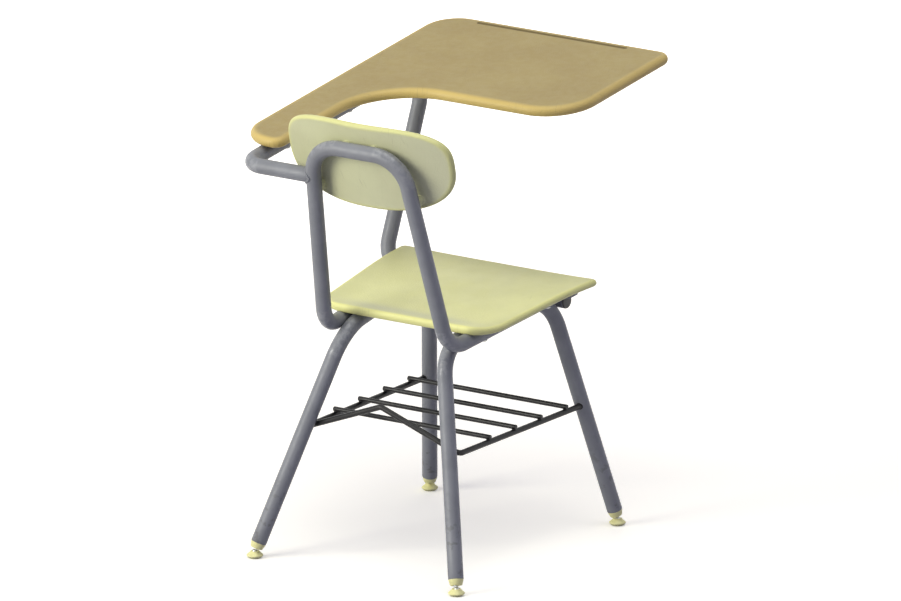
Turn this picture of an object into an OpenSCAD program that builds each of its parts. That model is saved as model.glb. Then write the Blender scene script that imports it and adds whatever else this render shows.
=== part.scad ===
// Student desk chair with a fixed writing tablet on the sitter's left.
// A welded tube frame carries a moulded seat, a moulded backrest, the tablet and a rod book rack,
// and stands on four swivel glides. X runs to the sitter's right, Y forward, Z up.
// The origin is on the floor, under the middle of the whole object.

/* [Tube and rod] */
// Outside diameter of the frame tubes
tube_d = 25.4; // [22:0.1:28]
// Wall of the frame tubes
tube_wall = 1.6; // [1.2:0.1:2.4]
// Diameter of the rack's cross rods
rod_d = 8; // [6:0.5:10]

/* [Base] */
// Distance between the two rear glides
rear_track = 394; // [374:1:414]
// Distance between the two front glides
front_track = 369; // [355:1:389]
// Distance from the rear glides to the front glides
base_depth = 488; // [468:1:508]
// Bend radius where a leg turns into its run under the seat
leg_bend = 73; // [60:1:78]
// Rear end of the leg run, behind mid depth
leg_rear = 132; // [126:1:138]
// Front end of the leg run, ahead of mid depth
leg_front = 141; // [136:1:146]

/* [Seat frame] */
// Height of the rail axes above the floor, at mid depth
rail_h = 394; // [380:1:410]
// Distance between the rail axes, at mid depth
rail_spread = 262; // [250:1:270]
// How far each rail opens towards the front, in degrees
rail_flare = 4.2; // [2:0.1:6]
// Rise of the seat towards the front, in degrees
seat_tilt = 6.6; // [5:0.1:8]
// Corner where the rails turn up, behind mid depth
rail_back = 154; // [148:1:162]
// Front end of the rails, ahead of mid depth
rail_front = 168; // [164:1:172]
// Bend radius where a rail turns up into an upright
rail_bend = 46; // [40:1:52]

/* [Back frame] */
// Height of the top bar above the rear corner of the rails
loop_h = 334; // [315:1:350]
// Distance between the uprights, at the top corners
loop_w = 175; // [165:1:185]
// Bend radius of the top corners
loop_bend = 57; // [48:1:60]
// Lean of the uprights, in degrees
recline = 14.5; // [10:0.5:18]

/* [Seat] */
// Thickness of the seat
seat_t = 12; // [10:0.5:14]
// Seat depth, rear edge to front edge
seat_depth = 288; // [280:1:294]
// Seat width half way along its depth
seat_w = 361; // [345:1:372]
// Gain in half width from the middle to the front edge
seat_flare = 12; // [6:1:16]
// Rear edge of the seat, behind mid depth
seat_rear = 107; // [102:1:112]
// Radius of the seat's front corners
seat_front_r = 12; // [10:1:30]
// Radius of the seat's rear corners
seat_rear_r = 45; // [30:1:60]
// Rise of the seat's sides above its middle
seat_cup = 2; // [1:0.5:5]
// Drop of the seat's front edge
seat_drop = 6; // [2:0.5:8]
// Extra thickness of the seat's rear edge
seat_lip = 3; // [0:0.5:5]
// Depth of the channels under the seat that the rails lie in
seat_nest = 2.5; // [1:0.5:2.5]

/* [Backrest] */
// Thickness of the backrest
back_t = 12; // [10:0.5:14]
// Width of the backrest
back_w = 320; // [300:1:340]
// Height of the backrest above its widest line
back_up = 66; // [58:1:72]
// Height of the backrest below its widest line
back_down = 86; // [76:1:92]
// Height of the widest line above the rear corner of the rails, along the uprights
back_line = 320; // [310:1:328]
// Radius of the backrest's curve in plan
back_curve = 560; // [480:10:700]
// Diameter of the moulded bosses that meet the frame
boss_d = 18; // [15:0.5:20]

/* [Tablet] */
// Thickness of the tablet
tablet_t = 18; // [16:0.5:20]
// Rise of the tablet towards the front, in degrees
tablet_tilt = 6.6; // [5:0.1:8]
// Length of the tablet, rear end of the arm to front edge
tablet_len = 606; // [590:1:620]
// Width of the tablet
tablet_w = 450; // [435:1:465]
// Width of the arm
arm_w = 86; // [76:1:100]
// Depth of the writing surface, front to rear
wing_depth = 311; // [295:1:325]
// Left edge of the tablet, from the middle of the seat
tablet_left = 273; // [265:1:281]
// Gap from the rear bar's axis to the tablet's rear end
tablet_behind = 43; // [38:1:50]
// Corner radius of the rear end, outer side
arm_outer_r = 62; // [40:1:66]
// Corner radius of the rear end, inner side
arm_inner_r = 20; // [12:1:20]
// Radius of the inside curve between arm and writing surface
elbow_r = 115; // [80:1:130]
// Corner radius of the writing surface, near right
near_r = 85; // [50:1:100]
// Corner radius of the writing surface, front right
front_right_r = 22; // [18:1:50]
// Corner radius of the writing surface, front left
front_left_r = 58; // [40:1:80]
// Length of the pencil groove
groove_len = 285; // [220:1:320]
// Width of the pencil groove
groove_w = 9; // [7:0.5:11]
// Depth of the pencil groove
groove_deep = 3; // [2:0.5:4]
// Groove centre line, from the front edge
groove_in = 17; // [15:0.5:22]

/* [Tablet support] */
// Distance of the support tube from the middle of the seat
arm_x = 227; // [220:1:234]
// Height of the rear bar above the rear corner of the rails
arm_h = 277; // [268:1:288]
// Front corner of the support tube, ahead of the rear bar
arm_run = 533; // [515:1:545]
// Bend radius of the rear corner
arm_rear_bend = 32; // [28:1:40]
// Bend radius of the corners at the post
post_bend = 49; // [42:1:56]
// Where the cross tube meets the rails, ahead of mid depth
cross_at = 166; // [162:1:168]
// Right end of the cross tube, from the middle of the seat
cross_end = 134; // [130:1:142]
// Width of each flange of the wing bracket
bracket_w = 34; // [28:1:40]
// Thickness of the wing bracket
bracket_t = 3; // [2.5:0.5:4]
// Reach of the wing bracket from the support tube's axis
bracket_len = 345; // [300:1:370]
// Distance from the wing bracket to the start of the support tube's front bend
bracket_clear = 4; // [2:1:20]

/* [Book rack] */
// Height of the rack's rim above the floor
rack_h = 210.5; // [190:0.5:235]
// Rise of the rear stop above the rim
stop_rise = 57; // [40:1:70]
// Distance between the cross rods
rack_pitch = 73; // [66:1:76]
// Number of cross rods
rack_rods = 4; // [2:1:4]
// Foremost cross rod, ahead of mid depth
rack_first = 139; // [130:1:145]
// Diameter of the rim's rod
rim_d = 9.5; // [8:0.5:11]
// Bend radius of the rim's corners
rim_bend = 10; // [8:1:16]

/* [Glides] */
// Height of the ball centre above the floor
ball_h = 10; // [9:0.5:12]
// Diameter of the ball
ball_d = 9.6; // [8.8:0.1:10.4]
// Diameter of the foot at its widest
foot_d = 28; // [25:0.5:32]
// Diameter of the face that meets the floor
foot_face_d = 20; // [16:0.5:22]
// Diameter of the stud's shank
shank_d = 6; // [5:0.1:7]
// Length of the ferrule that shows below the tube
ferrule_show = 10; // [8:0.5:14]
// Depth of the ferrule inside the tube
ferrule_deep = 24; // [18:1:32]

/* [Fasteners] */
// Diameter of the screws
screw_d = 5; // [4:0.1:5.5]
// Diameter of the rivets
rivet_d = 4.8; // [4:0.1:5.2]

/* [Hidden] */
$fn = 64;
// Gap between pieces that are welded or pressed together, and between pieces that rest on each other
weld_gap = 0.05;
rest_gap = 0.15;
// Radial play of a turning fit
run_play = 0.05;
// Radial play of a screw or rivet in its hole
hole_play = 0.2;
// How far a straight run reaches into a bend, and how much thinner the wall is in the bend, each face
lap = 0.3;
bend_ease = 0.03;

tube_r = tube_d / 2;
tube_in = tube_r - tube_wall;

// Seat rails, right side: a point at mid depth, a direction and the seat's normal
rail_mid = [rail_spread / 2, 0, rail_h];
rail_dir = unit([tan(rail_flare), 1, tan(seat_tilt)]);
seat_up = [0, -sin(seat_tilt), cos(seat_tilt)];
rail_corner = at_y(rail_mid, rail_dir, -rail_back);
rail_tip = at_y(rail_mid, rail_dir, rail_front);

// Leg run, right side: beside the rail, on its inner side and a little lower
run_drop = 9;
run_side = unit(cross(seat_up, rail_dir));
run_mid = rail_mid + (tube_d + weld_gap) * (cos(run_drop) * run_side - sin(run_drop) * seat_up);
rear_ball = [rear_track / 2, -base_depth / 2, ball_h];
front_ball = [front_track / 2, base_depth / 2, ball_h];
rear_knee = at_y(run_mid, rail_dir, -leg_rear);
front_knee = at_y(run_mid, rail_dir, leg_front);
rear_axis = unit(rear_knee - rear_ball);
front_axis = unit(front_knee - front_ball);

// Back frame: the plane of the uprights and its two directions
back_base = [0, rail_corner.y, rail_corner.z];
back_up_dir = [0, -sin(recline), cos(recline)];
back_out_dir = [0, cos(recline), sin(recline)];
loop_s = loop_h / cos(recline);
loop_corner = [loop_w / 2, 0, 0] + back_base + back_up_dir * loop_s;
upright_dir = unit(loop_corner - rail_corner);
back_touch = tube_r + rest_gap;

// Tablet support: rear bar, forward run, post and cross tube
arm_root = rail_corner + upright_dir * (arm_h / upright_dir.z);
tablet_dir = [0, cos(tablet_tilt), sin(tablet_tilt)];
tablet_up = [0, -sin(tablet_tilt), cos(tablet_tilt)];
arm_rear = [-arm_x, arm_root.y, arm_root.z];
arm_front = arm_rear + tablet_dir * (arm_run / tablet_dir.y);
cross_mid = at_y(rail_mid, rail_dir, cross_at) - seat_up * (tube_d + weld_gap);
post_foot = [-arm_x, cross_mid.y, cross_mid.z];
cross_tip = [cross_end, cross_mid.y, cross_mid.z];
tablet_base = [0, arm_root.y, arm_root.z] + tablet_up * (tube_r + rest_gap);
support_path = [flip(arm_root), arm_rear, arm_front, post_foot, cross_tip];
support_bends = [arm_rear_bend, post_bend, post_bend];
arm_straight = norm(arm_front - arm_rear) - setback(support_path, support_bends, 2);
bracket_at = arm_straight - bracket_clear - bracket_w / 2;
arm_screws = [0.225, 0.563, 0.826] * arm_run;
bracket_screws = [0.26, 0.594, 0.928] * bracket_len;
screw_grip = 11;
screw_head_d = 2 * screw_d;
screw_head_h = 0.6 * screw_d;

// Tablet outline, in the tablet's own plane, with a radius for each corner
tablet_right = tablet_w - tablet_left;
arm_right = arm_w - tablet_left;
tablet_front = tablet_behind + tablet_len;
wing_rear = tablet_front - wing_depth;
tablet_corners = [
    [-tablet_left, tablet_behind], [arm_right, tablet_behind], [arm_right, wing_rear],
    [tablet_right, wing_rear], [tablet_right, tablet_front], [-tablet_left, tablet_front]
];
tablet_radii = [arm_outer_r, arm_inner_r, elbow_r, near_r, front_right_r, front_left_r];

// The tablet's underside is hollow by a trace, deepest between its arm and its wing
tablet_hollow = 0.5;
tablet_hub = [arm_right - 0.2 * arm_w, wing_rear + 0.12 * wing_depth, tablet_hollow];

// Book rack: the rim runs from the front leg to a corner, and across the front of the rear leg to its peak
rim_front_x = 2.5;
rim_side = 0.65 * rim_bend;
rim_bite = 0.09 * rim_bend;
stop_back = 7;
rack_rear_leg = at_z(rear_ball, rear_axis, rack_h);
rack_front_leg = at_z(front_ball, front_axis, rack_h);
stop_dir = [-rack_rear_leg.x - rim_side, -stop_back, stop_rise];
rim_facing = unit(cross(stop_dir, rear_axis));
rim_ahead = (tube_r + rim_d / 2 - rim_bite - rim_side * rim_facing.x) / rim_facing.y;
rim_corner = rack_rear_leg + [rim_side, rim_ahead, 0];
rim_front = rack_front_leg + [rim_front_x, 0, 0];
rim_apex = rim_corner + stop_dir;
rod_overhang = 0.42 * rim_d;

// Glides: distances along the leg, from the ball's centre
ferrule_from = 6.5;
ferrule_to = ferrule_from + ferrule_show;
ferrule_top = ferrule_to + ferrule_deep;
ferrule_foot_d = 20;
neck_d = 0.87 * shank_d;
collar_d = shank_d + 4;
collar_t = 1.1;
rivet_head_d = 1.9 * shank_d;
rivet_head_t = 2.5;
foot_lip = 1.5;
foot_wall = 2.5;

// Fixings of the seat and the backrest
seat_screws_y = [-60, 105];
boss_low = 262;
boss_high_x = 27;
rivet_flange_d = 2.4 * rivet_d;
rivet_flange_t = 1.6;
rivet_sink = 2;

// Middle of the whole object, over which the origin stands
x_low = -tablet_left;
x_high = max(rear_track / 2 + foot_d / 2, tablet_right);
y_low = -base_depth / 2 - foot_d / 2;
tablet_nose = tablet_base + tablet_dir * (tablet_front - tablet_t / 2) + tablet_up * tablet_t / 2;
y_high = tablet_nose.y + tablet_t / 2;

CORNERS = ["front_left", "front_right", "rear_left", "rear_right"];

// Vectors and lines
function unit(v) = v / norm(v);
function at_y(p, d, y) = p + d * (y - p.y) / d.y;
function at_z(p, d, z) = p + d * (z - p.z) / d.z;
function flip(p) = [-p.x, p.y, p.z];
function clamp01(t) = min(max(t, 0), 1);
function axes(x, y, z, o) = [
    [x.x, y.x, z.x, o.x],
    [x.y, y.y, z.y, o.y],
    [x.z, y.z, z.z, o.z],
    [0, 0, 0, 1]
];
function side_of(d) = unit(cross(abs(d.x) < 0.9 ? [1, 0, 0] : [0, 1, 0], d));

// Places children with their Z axis along d, from point o
module along(o, d) {
    z = unit(d);
    x = side_of(z);
    multmatrix(axes(x, cross(z, x), z, o)) children();
}

// Moves the chair from its own centre lines to the object's origin
module place() {
    translate([-(x_low + x_high) / 2, -(y_low + y_high) / 2, 0]) children();
}

module both_sides() {
    children();
    mirror([1, 0, 0]) children();
}

// Section of a tube, or of a solid rod where the wall is 0
module section(d, wall) {
    difference() {
        circle(d = d);
        if (wall > 0) circle(d = d - 2 * wall);
    }
}

// Bending table of a tube along the corner points p: directions, turns, inward normals and rolls
function run_dir(p, i) = unit(p[i + 1] - p[i]);
function turn_at(p, i) = let (c = run_dir(p, i - 1) * run_dir(p, i)) round(acos(c) * 1e4) / 1e4;
function inward_at(p, i) = let (d = run_dir(p, i - 1), e = run_dir(p, i)) unit(e - d * (d * e));
function setback(p, r, i) = i == 0 || i == len(p) - 1 ? 0 : r[i - 1] * tan(turn_at(p, i) / 2);
function run_len(p, r, i) = norm(p[i + 1] - p[i]) - setback(p, r, i) - setback(p, r, i + 1);
function roll_at(p, i) =
    let (d = run_dir(p, i - 1), n = inward_at(p, i - 1), next = inward_at(p, i), t = turn_at(p, i - 1))
    let (now = n * cos(t) - run_dir(p, i - 2) * sin(t))
    round(atan2(cross(now, next) * d, now * next) * 1e4) / 1e4;

// Tube or rod along the corner points p, bent at each inner corner to its own radius r
module bent(p, r, d, wall) {
    z = run_dir(p, 0);
    x = inward_at(p, 1);
    multmatrix(axes(x, cross(z, x), z, p[0])) bent_from(p, r, d, wall, 0);
}

// Run i along Z, then its bend towards X, drawn a trace thinner as bends are, then the rest of the tube
module bent_from(p, r, d, wall, i) {
    length = run_len(p, r, i);
    before = i > 0 ? lap : 0;
    after = i < len(p) - 2 ? lap : 0;
    translate([0, 0, -before]) linear_extrude(length + before + after) section(d, wall);
    if (i < len(p) - 2) translate([0, 0, length]) {
        turn = turn_at(p, i + 1);
        multmatrix(axes([-1, 0, 0], [0, 0, 1], [0, 1, 0], [r[i], 0, 0]))
            rotate_extrude(angle = turn) translate([r[i], 0])
                section(d - 2 * bend_ease, wall > 0 ? wall - 2 * bend_ease : 0);
        translate([r[i], 0, 0]) rotate([0, turn, 0]) translate([-r[i], 0, 0])
            rotate(i < len(p) - 3 ? roll_at(p, i + 2) : 0) bent_from(p, r, d, wall, i + 1);
    }
}

// Solid bar of the tube's size through two points, for cutting a saddle into what is welded there
module saddle(a, b, gap = weld_gap) {
    along(a, b - a) translate([0, 0, -tube_d]) cylinder(r = tube_r + gap, h = norm(b - a) + 2 * tube_d);
}

// Closed skin over rings of equal length that run anticlockwise from the top face to the underside.
// An end with a hub is a fan of triangles round it, and an end without one is a flat face
module skin(rings, top_hub = undef, low_hub = undef) {
    n = len(rings[0]);
    m = len(rings);
    top_at = m * n;
    low_at = top_hub == undef ? top_at : top_at + 1;
    walls = [
        for (k = [0 : m - 2], i = [0 : n - 1]) each [
            [k * n + i, k * n + (i + 1) % n, (k + 1) * n + i],
            [k * n + (i + 1) % n, (k + 1) * n + (i + 1) % n, (k + 1) * n + i]
        ]
    ];
    top = top_hub == undef
        ? [[for (i = [n - 1 : -1 : 0]) i]]
        : [for (i = [0 : n - 1]) [top_at, (i + 1) % n, i]];
    low = low_hub == undef
        ? [[for (i = [0 : n - 1]) (m - 1) * n + i]]
        : [for (i = [0 : n - 1]) [low_at, (m - 1) * n + i, (m - 1) * n + (i + 1) % n]];
    hubs = [for (h = [top_hub, low_hub]) if (h != undef) h];
    polyhedron([for (r = rings) each r, each hubs], [each walls, each top, each low]);
}

// Skin over the rings of a slab, with a fan at the middle of each face
module slab(rings) skin(rings, mean(rings[0]), mean(rings[len(rings) - 1]));
function mean(ring) = [for (i = [1 : len(ring)]) 1 / len(ring)] * ring;

// Rings of a slab with a full-round edge: share of the outline, inset of the edge, height above its base
slab_shares = [0.2, 0.45, 0.68, 0.87];
edge_steps = 6;
function edge_ring(t, a) = [1, t / 2 * (1 - cos(a)), t / 2 * (1 + sin(a))];
function slab_rings(t) = [
    for (f = slab_shares) [f, t / 2, t],
    for (k = [0 : edge_steps]) edge_ring(t, 90 - 180 * k / edge_steps),
    for (i = [len(slab_shares) - 1 : -1 : 0]) [slab_shares[i], t / 2, 0]
];
outline_steps = 96;
outline_angles = [for (i = [0 : outline_steps - 1]) i * 360 / outline_steps];

// Radius of a rounded outline at angle a, with half sizes w and h; a square of n is round at 2
function rounded(a, w, h, n) = pow(pow(abs(cos(a)) / w, n) + pow(abs(sin(a)) / h, n), -1 / n);

// Outline round some corners: points with their outward normals, each corner an arc, the sides in steps
arc_step = 7;
function corner_arc(a, b, c, r) =
    let (u = unit(a - b), v = unit(c - b), half = acos(u * v) / 2)
    let (centre = b + unit(u + v) * r / sin(half), from = b + u * r / tan(half), to = b + v * r / tan(half))
    let (a0 = atan2(from.y - centre.y, from.x - centre.x), a1 = atan2(to.y - centre.y, to.x - centre.x))
    let (sweep = (a1 - a0 + 540) % 360 - 180, n = 4 + ceil(r / arc_step))
    [for (k = [0 : n]) let (d = [cos(a0 + sweep * k / n), sin(a0 + sweep * k / n)])
        [centre + r * d, sweep > 0 ? d : -d]];
function side_points(a, b, step) =
    let (n = ceil(norm(b[0] - a[0]) / step))
    [for (k = [1 : 1 : n - 1]) [a[0] + (b[0] - a[0]) * k / n, a[1]]];
function outline(corners, radii, step) =
    let (n = len(corners))
    let (arcs = [for (i = [0 : n - 1])
        corner_arc(corners[(i + n - 1) % n], corners[i], corners[(i + 1) % n], radii[i])
    ])
    [for (i = [0 : n - 1]) each [
        each arcs[i],
        each side_points(arcs[i][len(arcs[i]) - 1], arcs[(i + 1) % n][0], step)
    ]];
tablet_outline = outline(tablet_corners, tablet_radii, tablet_len);

// Seat, in the plane of the rail tops: centre, half depth, half width and the underside's height
seat_fwd = [0, cos(seat_tilt), sin(seat_tilt)];
seat_base = [0, rail_mid.y, rail_mid.z] + seat_up * (tube_r + rest_gap - seat_nest);
seat_bite = seat_t - seat_nest - 3;
seat_half = seat_depth / 2;
seat_mid = seat_half - seat_rear;
lip_from = 42;
drop_from = 60;
seat_ends = [-seat_rear, seat_depth - seat_rear];
seat_corners = [
    [-seat_w / 2, seat_ends[0]], [seat_w / 2, seat_ends[0]],
    [seat_w / 2, seat_ends[1]], [-seat_w / 2, seat_ends[1]]
];
seat_outline = outline(seat_corners, [seat_rear_r, seat_rear_r, seat_front_r, seat_front_r], 26);
function seat_half_w(y) = seat_w / 2 + seat_flare * (y - seat_mid) / seat_half;
function rail_x(y) = rail_spread / 2 + y * cos(seat_tilt) * tan(rail_flare);
function lip_rise(y) = seat_lip * pow(clamp01((lip_from - seat_rear - y) / lip_from), 2);
function front_drop(y) = seat_drop * pow(clamp01((y - drop_from) / (seat_ends[1] - drop_from)), 2);
function side_rise(x, y) = seat_cup * (pow(x, 4) - pow(rail_x(y), 4)) / pow(seat_half_w(y), 4);
function seat_point(p, ring) =
    let (flat = ring[0] * (p[0] - ring[1] * p[1] - [0, seat_mid]) + [0, seat_mid])
    let (x = flat.x * seat_half_w(flat.y) / (seat_w / 2))
    let (under = side_rise(x, flat.y) - front_drop(flat.y))
    [x, flat.y, under + ring[2] * (1 + lip_rise(flat.y) / seat_t)];

// Backrest, in the plane of the uprights, with Z to the rear: its rear face and its bosses
back_square_up = 3.2;
back_square_down = 2.5;
function back_face(x) = -back_touch - x * x / (2 * back_curve);
function back_radius(a) = sin(a) > 0
    ? rounded(a, back_w / 2, back_up, back_square_up)
    : rounded(a, back_w / 2, back_down, back_square_down);
function back_point(a, ring) =
    let (r = ring[0] * (back_radius(a) - ring[1]))
    [r * cos(a), back_line + r * sin(a), back_face(r * cos(a)) - back_t + ring[2]];
function upright_x(s) = rail_corner.x + (loop_corner.x - rail_corner.x) * s / loop_s;
bosses = [[upright_x(boss_low), boss_low], [boss_high_x, loop_s]];

module in_seat_plane() multmatrix(axes([1, 0, 0], seat_fwd, seat_up, seat_base)) children();
module in_back_plane() multmatrix(axes([1, 0, 0], back_up_dir, -back_out_dir, back_base)) children();
module in_tablet_plane() multmatrix(axes([1, 0, 0], tablet_dir, tablet_up, tablet_base)) children();

// Places children on each seat screw's axis, at the rail's axis, pointing up
module at_seat_screws() {
    both_sides() for (y = seat_screws_y) along(at_y(rail_mid, rail_dir, y), seat_up) children();
}

// Places children on each rivet's axis in the back plane; $x is the boss's distance from the middle
module at_rivets() {
    in_back_plane() for (b = bosses, s = [-1, 1]) {
        $x = b.x;
        translate([s * b.x, b.y, 0]) children();
    }
}

// Places children on each screw through the support tube, at the tablet's underside
module at_arm_screws() {
    in_tablet_plane() for (y = arm_screws) translate([-arm_x, y, 0]) children();
}

// Places children on each screw through the wing bracket, at the tablet's underside
module at_bracket_screws() {
    in_tablet_plane() for (x = bracket_screws) translate([x - arm_x, bracket_at, 0]) children();
}

// Pan-head screw along Z with its head's seat at z = 0
module screw(length) {
    tip = screw_d / 2;
    translate([0, 0, -screw_head_h]) cylinder(d1 = 0.75 * screw_head_d, d2 = screw_head_d, h = screw_head_h);
    cylinder(d = screw_d, h = length - tip);
    translate([0, 0, length - tip]) cylinder(d1 = screw_d, d2 = screw_d / 3, h = tip);
}

module hole(d, from, to) translate([0, 0, from]) cylinder(d = d, h = to - from);

// Frame
module back_frame_tube() {
    path = [rail_tip, rail_corner, loop_corner, flip(loop_corner), flip(rail_corner), flip(rail_tip)];
    color("#77777d") place() difference() {
        bent(path, [rail_bend, loop_bend, loop_bend, rail_bend], tube_d, tube_wall);
        at_seat_screws() hole(screw_d + 2 * hole_play, -tube_d, tube_d);
        at_rivets() hole(rivet_d + 2 * hole_play, -tube_d, 0);
    }
}

module leg_tube() {
    path = [rear_ball + rear_axis * ferrule_to, rear_knee, front_knee, front_ball + front_axis * ferrule_to];
    color("#77777d") bent(path, [leg_bend, leg_bend], tube_d, tube_wall);
}

module left_leg_tube() place() mirror([1, 0, 0]) leg_tube();
module right_leg_tube() place() leg_tube();

module tablet_support_tube() {
    color("#77777d") place() difference() {
        bent(support_path, support_bends, tube_d, tube_wall);
        saddle(flip(rail_corner), flip(loop_corner));
        at_arm_screws() hole(screw_d + 2 * hole_play, -2 * tube_d, tube_r);
    }
}

// Steel angle under the writing surface, its upright flange narrowing towards the tip
module tablet_wing_bracket() {
    start = 0.67 * tube_r;
    deep = 0.8 * bracket_w;
    tip_deep = 0.3 * bracket_w;
    color("#77777d") place() difference() {
        in_tablet_plane() translate([-arm_x, bracket_at, -rest_gap]) {
            translate([start, -bracket_w / 2, -bracket_t]) cube([bracket_len - start, bracket_w, bracket_t]);
            translate([0, bracket_w / 2, 0]) rotate([90, 0, 0]) linear_extrude(bracket_t)
                polygon([[start, 0], [bracket_len, 0], [bracket_len, -tip_deep], [start, -deep]]);
        }
        saddle(arm_rear, arm_front);
        at_bracket_screws() hole(screw_d + 2 * hole_play, -2 * bracket_t, bracket_t);
    }
}

// Seat, backrest and tablet
module seat_shell() {
    color("#d6d4a2") place() difference() {
        in_seat_plane() slab([
            for (ring = slab_rings(seat_t)) [for (p = seat_outline) seat_point(p, ring)]
        ]);
        both_sides() saddle(rail_corner, rail_tip, rest_gap);
        both_sides() saddle(rear_knee, front_knee, rest_gap);
        at_seat_screws() hole(screw_d + hole_play, 0, tube_r + seat_bite);
    }
}

module backrest_shell() {
    color("#c9c8a2") place() difference() {
        union() {
            in_back_plane() slab([
                for (ring = slab_rings(back_t)) [for (a = outline_angles) back_point(a, ring)]
            ]);
            at_rivets() hole(boss_d, back_face($x) - back_t / 2, -tube_r / 2);
        }
        both_sides() saddle(rail_corner, loop_corner, rest_gap);
        saddle(loop_corner, flip(loop_corner), rest_gap);
        at_rivets() hole(rivet_d + 2 * hole_play, -5 * back_t, 0);
        at_rivets() hole(rivet_flange_d + 1, -5 * back_t, back_face($x) - back_t + rivet_sink);
    }
}

module tablet_top() {
    groove_r = (groove_w * groove_w / 4 + groove_deep * groove_deep) / (2 * groove_deep);
    groove_z = tablet_t - groove_deep + groove_r;
    groove_mid = (tablet_right - tablet_left) / 2;
    color("#b3a373") place() difference() {
        in_tablet_plane() difference() {
            skin([
                for (k = [0 : edge_steps])
                    let (ring = edge_ring(tablet_t, 90 - 180 * k / edge_steps))
                    [for (p = tablet_outline) [each p[0] - ring[1] * p[1], ring[2]]]
            ], low_hub = tablet_hub);
            translate([groove_mid - groove_len / 2, tablet_front - groove_in, groove_z]) {
                rotate([0, 90, 0]) cylinder(r = groove_r, h = groove_len);
                for (x = [0, groove_len]) translate([x, 0, 0]) sphere(r = groove_r);
            }
        }
        at_arm_screws() hole(screw_d + hole_play, -tube_r, screw_grip + 1);
        at_bracket_screws() hole(screw_d + hole_play, -tube_r, screw_grip + 1);
    }
}

// Book rack
module rack_rim_rod() {
    path = [rim_front, rim_corner, rim_apex, flip(rim_corner), flip(rim_front)];
    color("#1d1d1f") place() difference() {
        bent(path, [rim_bend, rim_bend, rim_bend], rim_d, 0);
        both_sides() saddle(rear_ball, rear_knee);
        both_sides() saddle(front_ball, front_knee);
    }
}

module rack_cross_rod(i) {
    y = rack_first - (i - 1) * rack_pitch;
    half = at_y(rim_corner, rim_front - rim_corner, y).x + rod_overhang;
    color("#1d1d1f") place() translate([-half, y, rack_h + (rim_d + rod_d) / 2 + weld_gap])
        rotate([0, 90, 0]) cylinder(d = rod_d, h = 2 * half);
}

// Plugs in the open tube ends: a cap over the end and a stem inside
module tube_plug() {
    cap_t = 2.5;
    stem = 14;
    translate([0, 0, weld_gap]) cylinder(d1 = tube_d, d2 = tube_d - cap_t, h = cap_t);
    translate([0, 0, -stem]) cylinder(r = tube_in - weld_gap, h = stem + 2 * weld_gap);
}

module right_rail_plug() color("#2a2a2c") place() along(rail_tip, rail_dir) tube_plug();
module left_rail_plug() color("#2a2a2c") place() along(flip(rail_tip), flip(rail_dir)) tube_plug();
module cross_tube_plug() color("#2a2a2c") place() along(cross_tip, [1, 0, 0]) tube_plug();

// Fasteners
module seat_screws() {
    color("#b8b8bc") place() at_seat_screws()
        translate([0, 0, -tube_r - weld_gap]) screw(tube_d + seat_bite - 0.5);
}

module backrest_rivets() {
    bulb = 0.75 * rivet_d;
    color("#b8b8bc") place() at_rivets() {
        floor_z = back_face($x) - back_t + rivet_sink;
        hole(rivet_flange_d, floor_z - rivet_flange_t, floor_z - weld_gap);
        hole(rivet_d, floor_z - rivet_flange_t, -tube_in + bulb);
        translate([0, 0, -tube_in + bulb]) sphere(r = bulb);
    }
}

module tablet_screws() {
    color("#b8b8bc") place() {
        at_arm_screws() translate([0, 0, -tube_d - rest_gap - weld_gap]) screw(tube_d + screw_grip);
        at_bracket_screws()
            translate([0, 0, -bracket_t - rest_gap - weld_gap]) screw(bracket_t + screw_grip);
    }
}

// Swivel glides
function glide_ball(c) = let (p = c[0] == "f" ? front_ball : rear_ball) right_hand(c) ? p : flip(p);
function glide_axis(c) = let (d = c[0] == "f" ? front_axis : rear_axis) right_hand(c) ? d : flip(d);
function right_hand(c) = c == "front_right" || c == "rear_right";

module glide_ferrule(c) {
    color("#e6e29c") place() along(glide_ball(c), glide_axis(c)) difference() {
        union() {
            translate([0, 0, ferrule_from])
                cylinder(d1 = ferrule_foot_d, d2 = tube_d - 0.6, h = ferrule_show - weld_gap);
            translate([0, 0, ferrule_from])
                cylinder(r = tube_in - weld_gap, h = ferrule_show + ferrule_deep);
        }
        hole(shank_d + 2 * run_play, 0, 2 * ferrule_top);
    }
}

module glide_stud(c) {
    collar_z = ferrule_from - run_play - collar_t;
    head_z = ferrule_top + run_play;
    color("#8c8c90") place() along(glide_ball(c), glide_axis(c)) {
        sphere(d = ball_d);
        cylinder(d = neck_d, h = collar_z + collar_t / 2);
        translate([0, 0, collar_z]) cylinder(d = collar_d, h = collar_t);
        translate([0, 0, collar_z]) cylinder(d = shank_d, h = head_z + rivet_head_t - collar_z);
        translate([0, 0, head_z]) cylinder(d = rivet_head_d, h = rivet_head_t);
    }
}

module glide_foot(c) {
    lip_r = ball_d / 2 + foot_wall;
    low = -ball_h;
    profile = [
        [0, low], [foot_face_d / 2, low], [foot_d / 2 - 1, low + 3], [foot_d / 2, low + 4.4],
        [foot_d / 2 - 1, low + 5.8], [lip_r + 1.5, foot_lip - 2.2], [lip_r, foot_lip], [0, foot_lip]
    ];
    color("#e6e29c") place() translate(glide_ball(c)) difference() {
        rotate_extrude() polygon(profile);
        sphere(d = ball_d + 2 * run_play);
    }
}

back_frame_tube();
left_leg_tube();
right_leg_tube();
tablet_support_tube();
tablet_wing_bracket();
seat_shell();
backrest_shell();
tablet_top();
rack_rim_rod();
for (i = [1 : rack_rods]) rack_cross_rod(i);
left_rail_plug();
right_rail_plug();
cross_tube_plug();
seat_screws();
backrest_rivets();
tablet_screws();
for (c = CORNERS) glide_ferrule(c);
for (c = CORNERS) glide_stud(c);
for (c = CORNERS) glide_foot(c);
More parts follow.
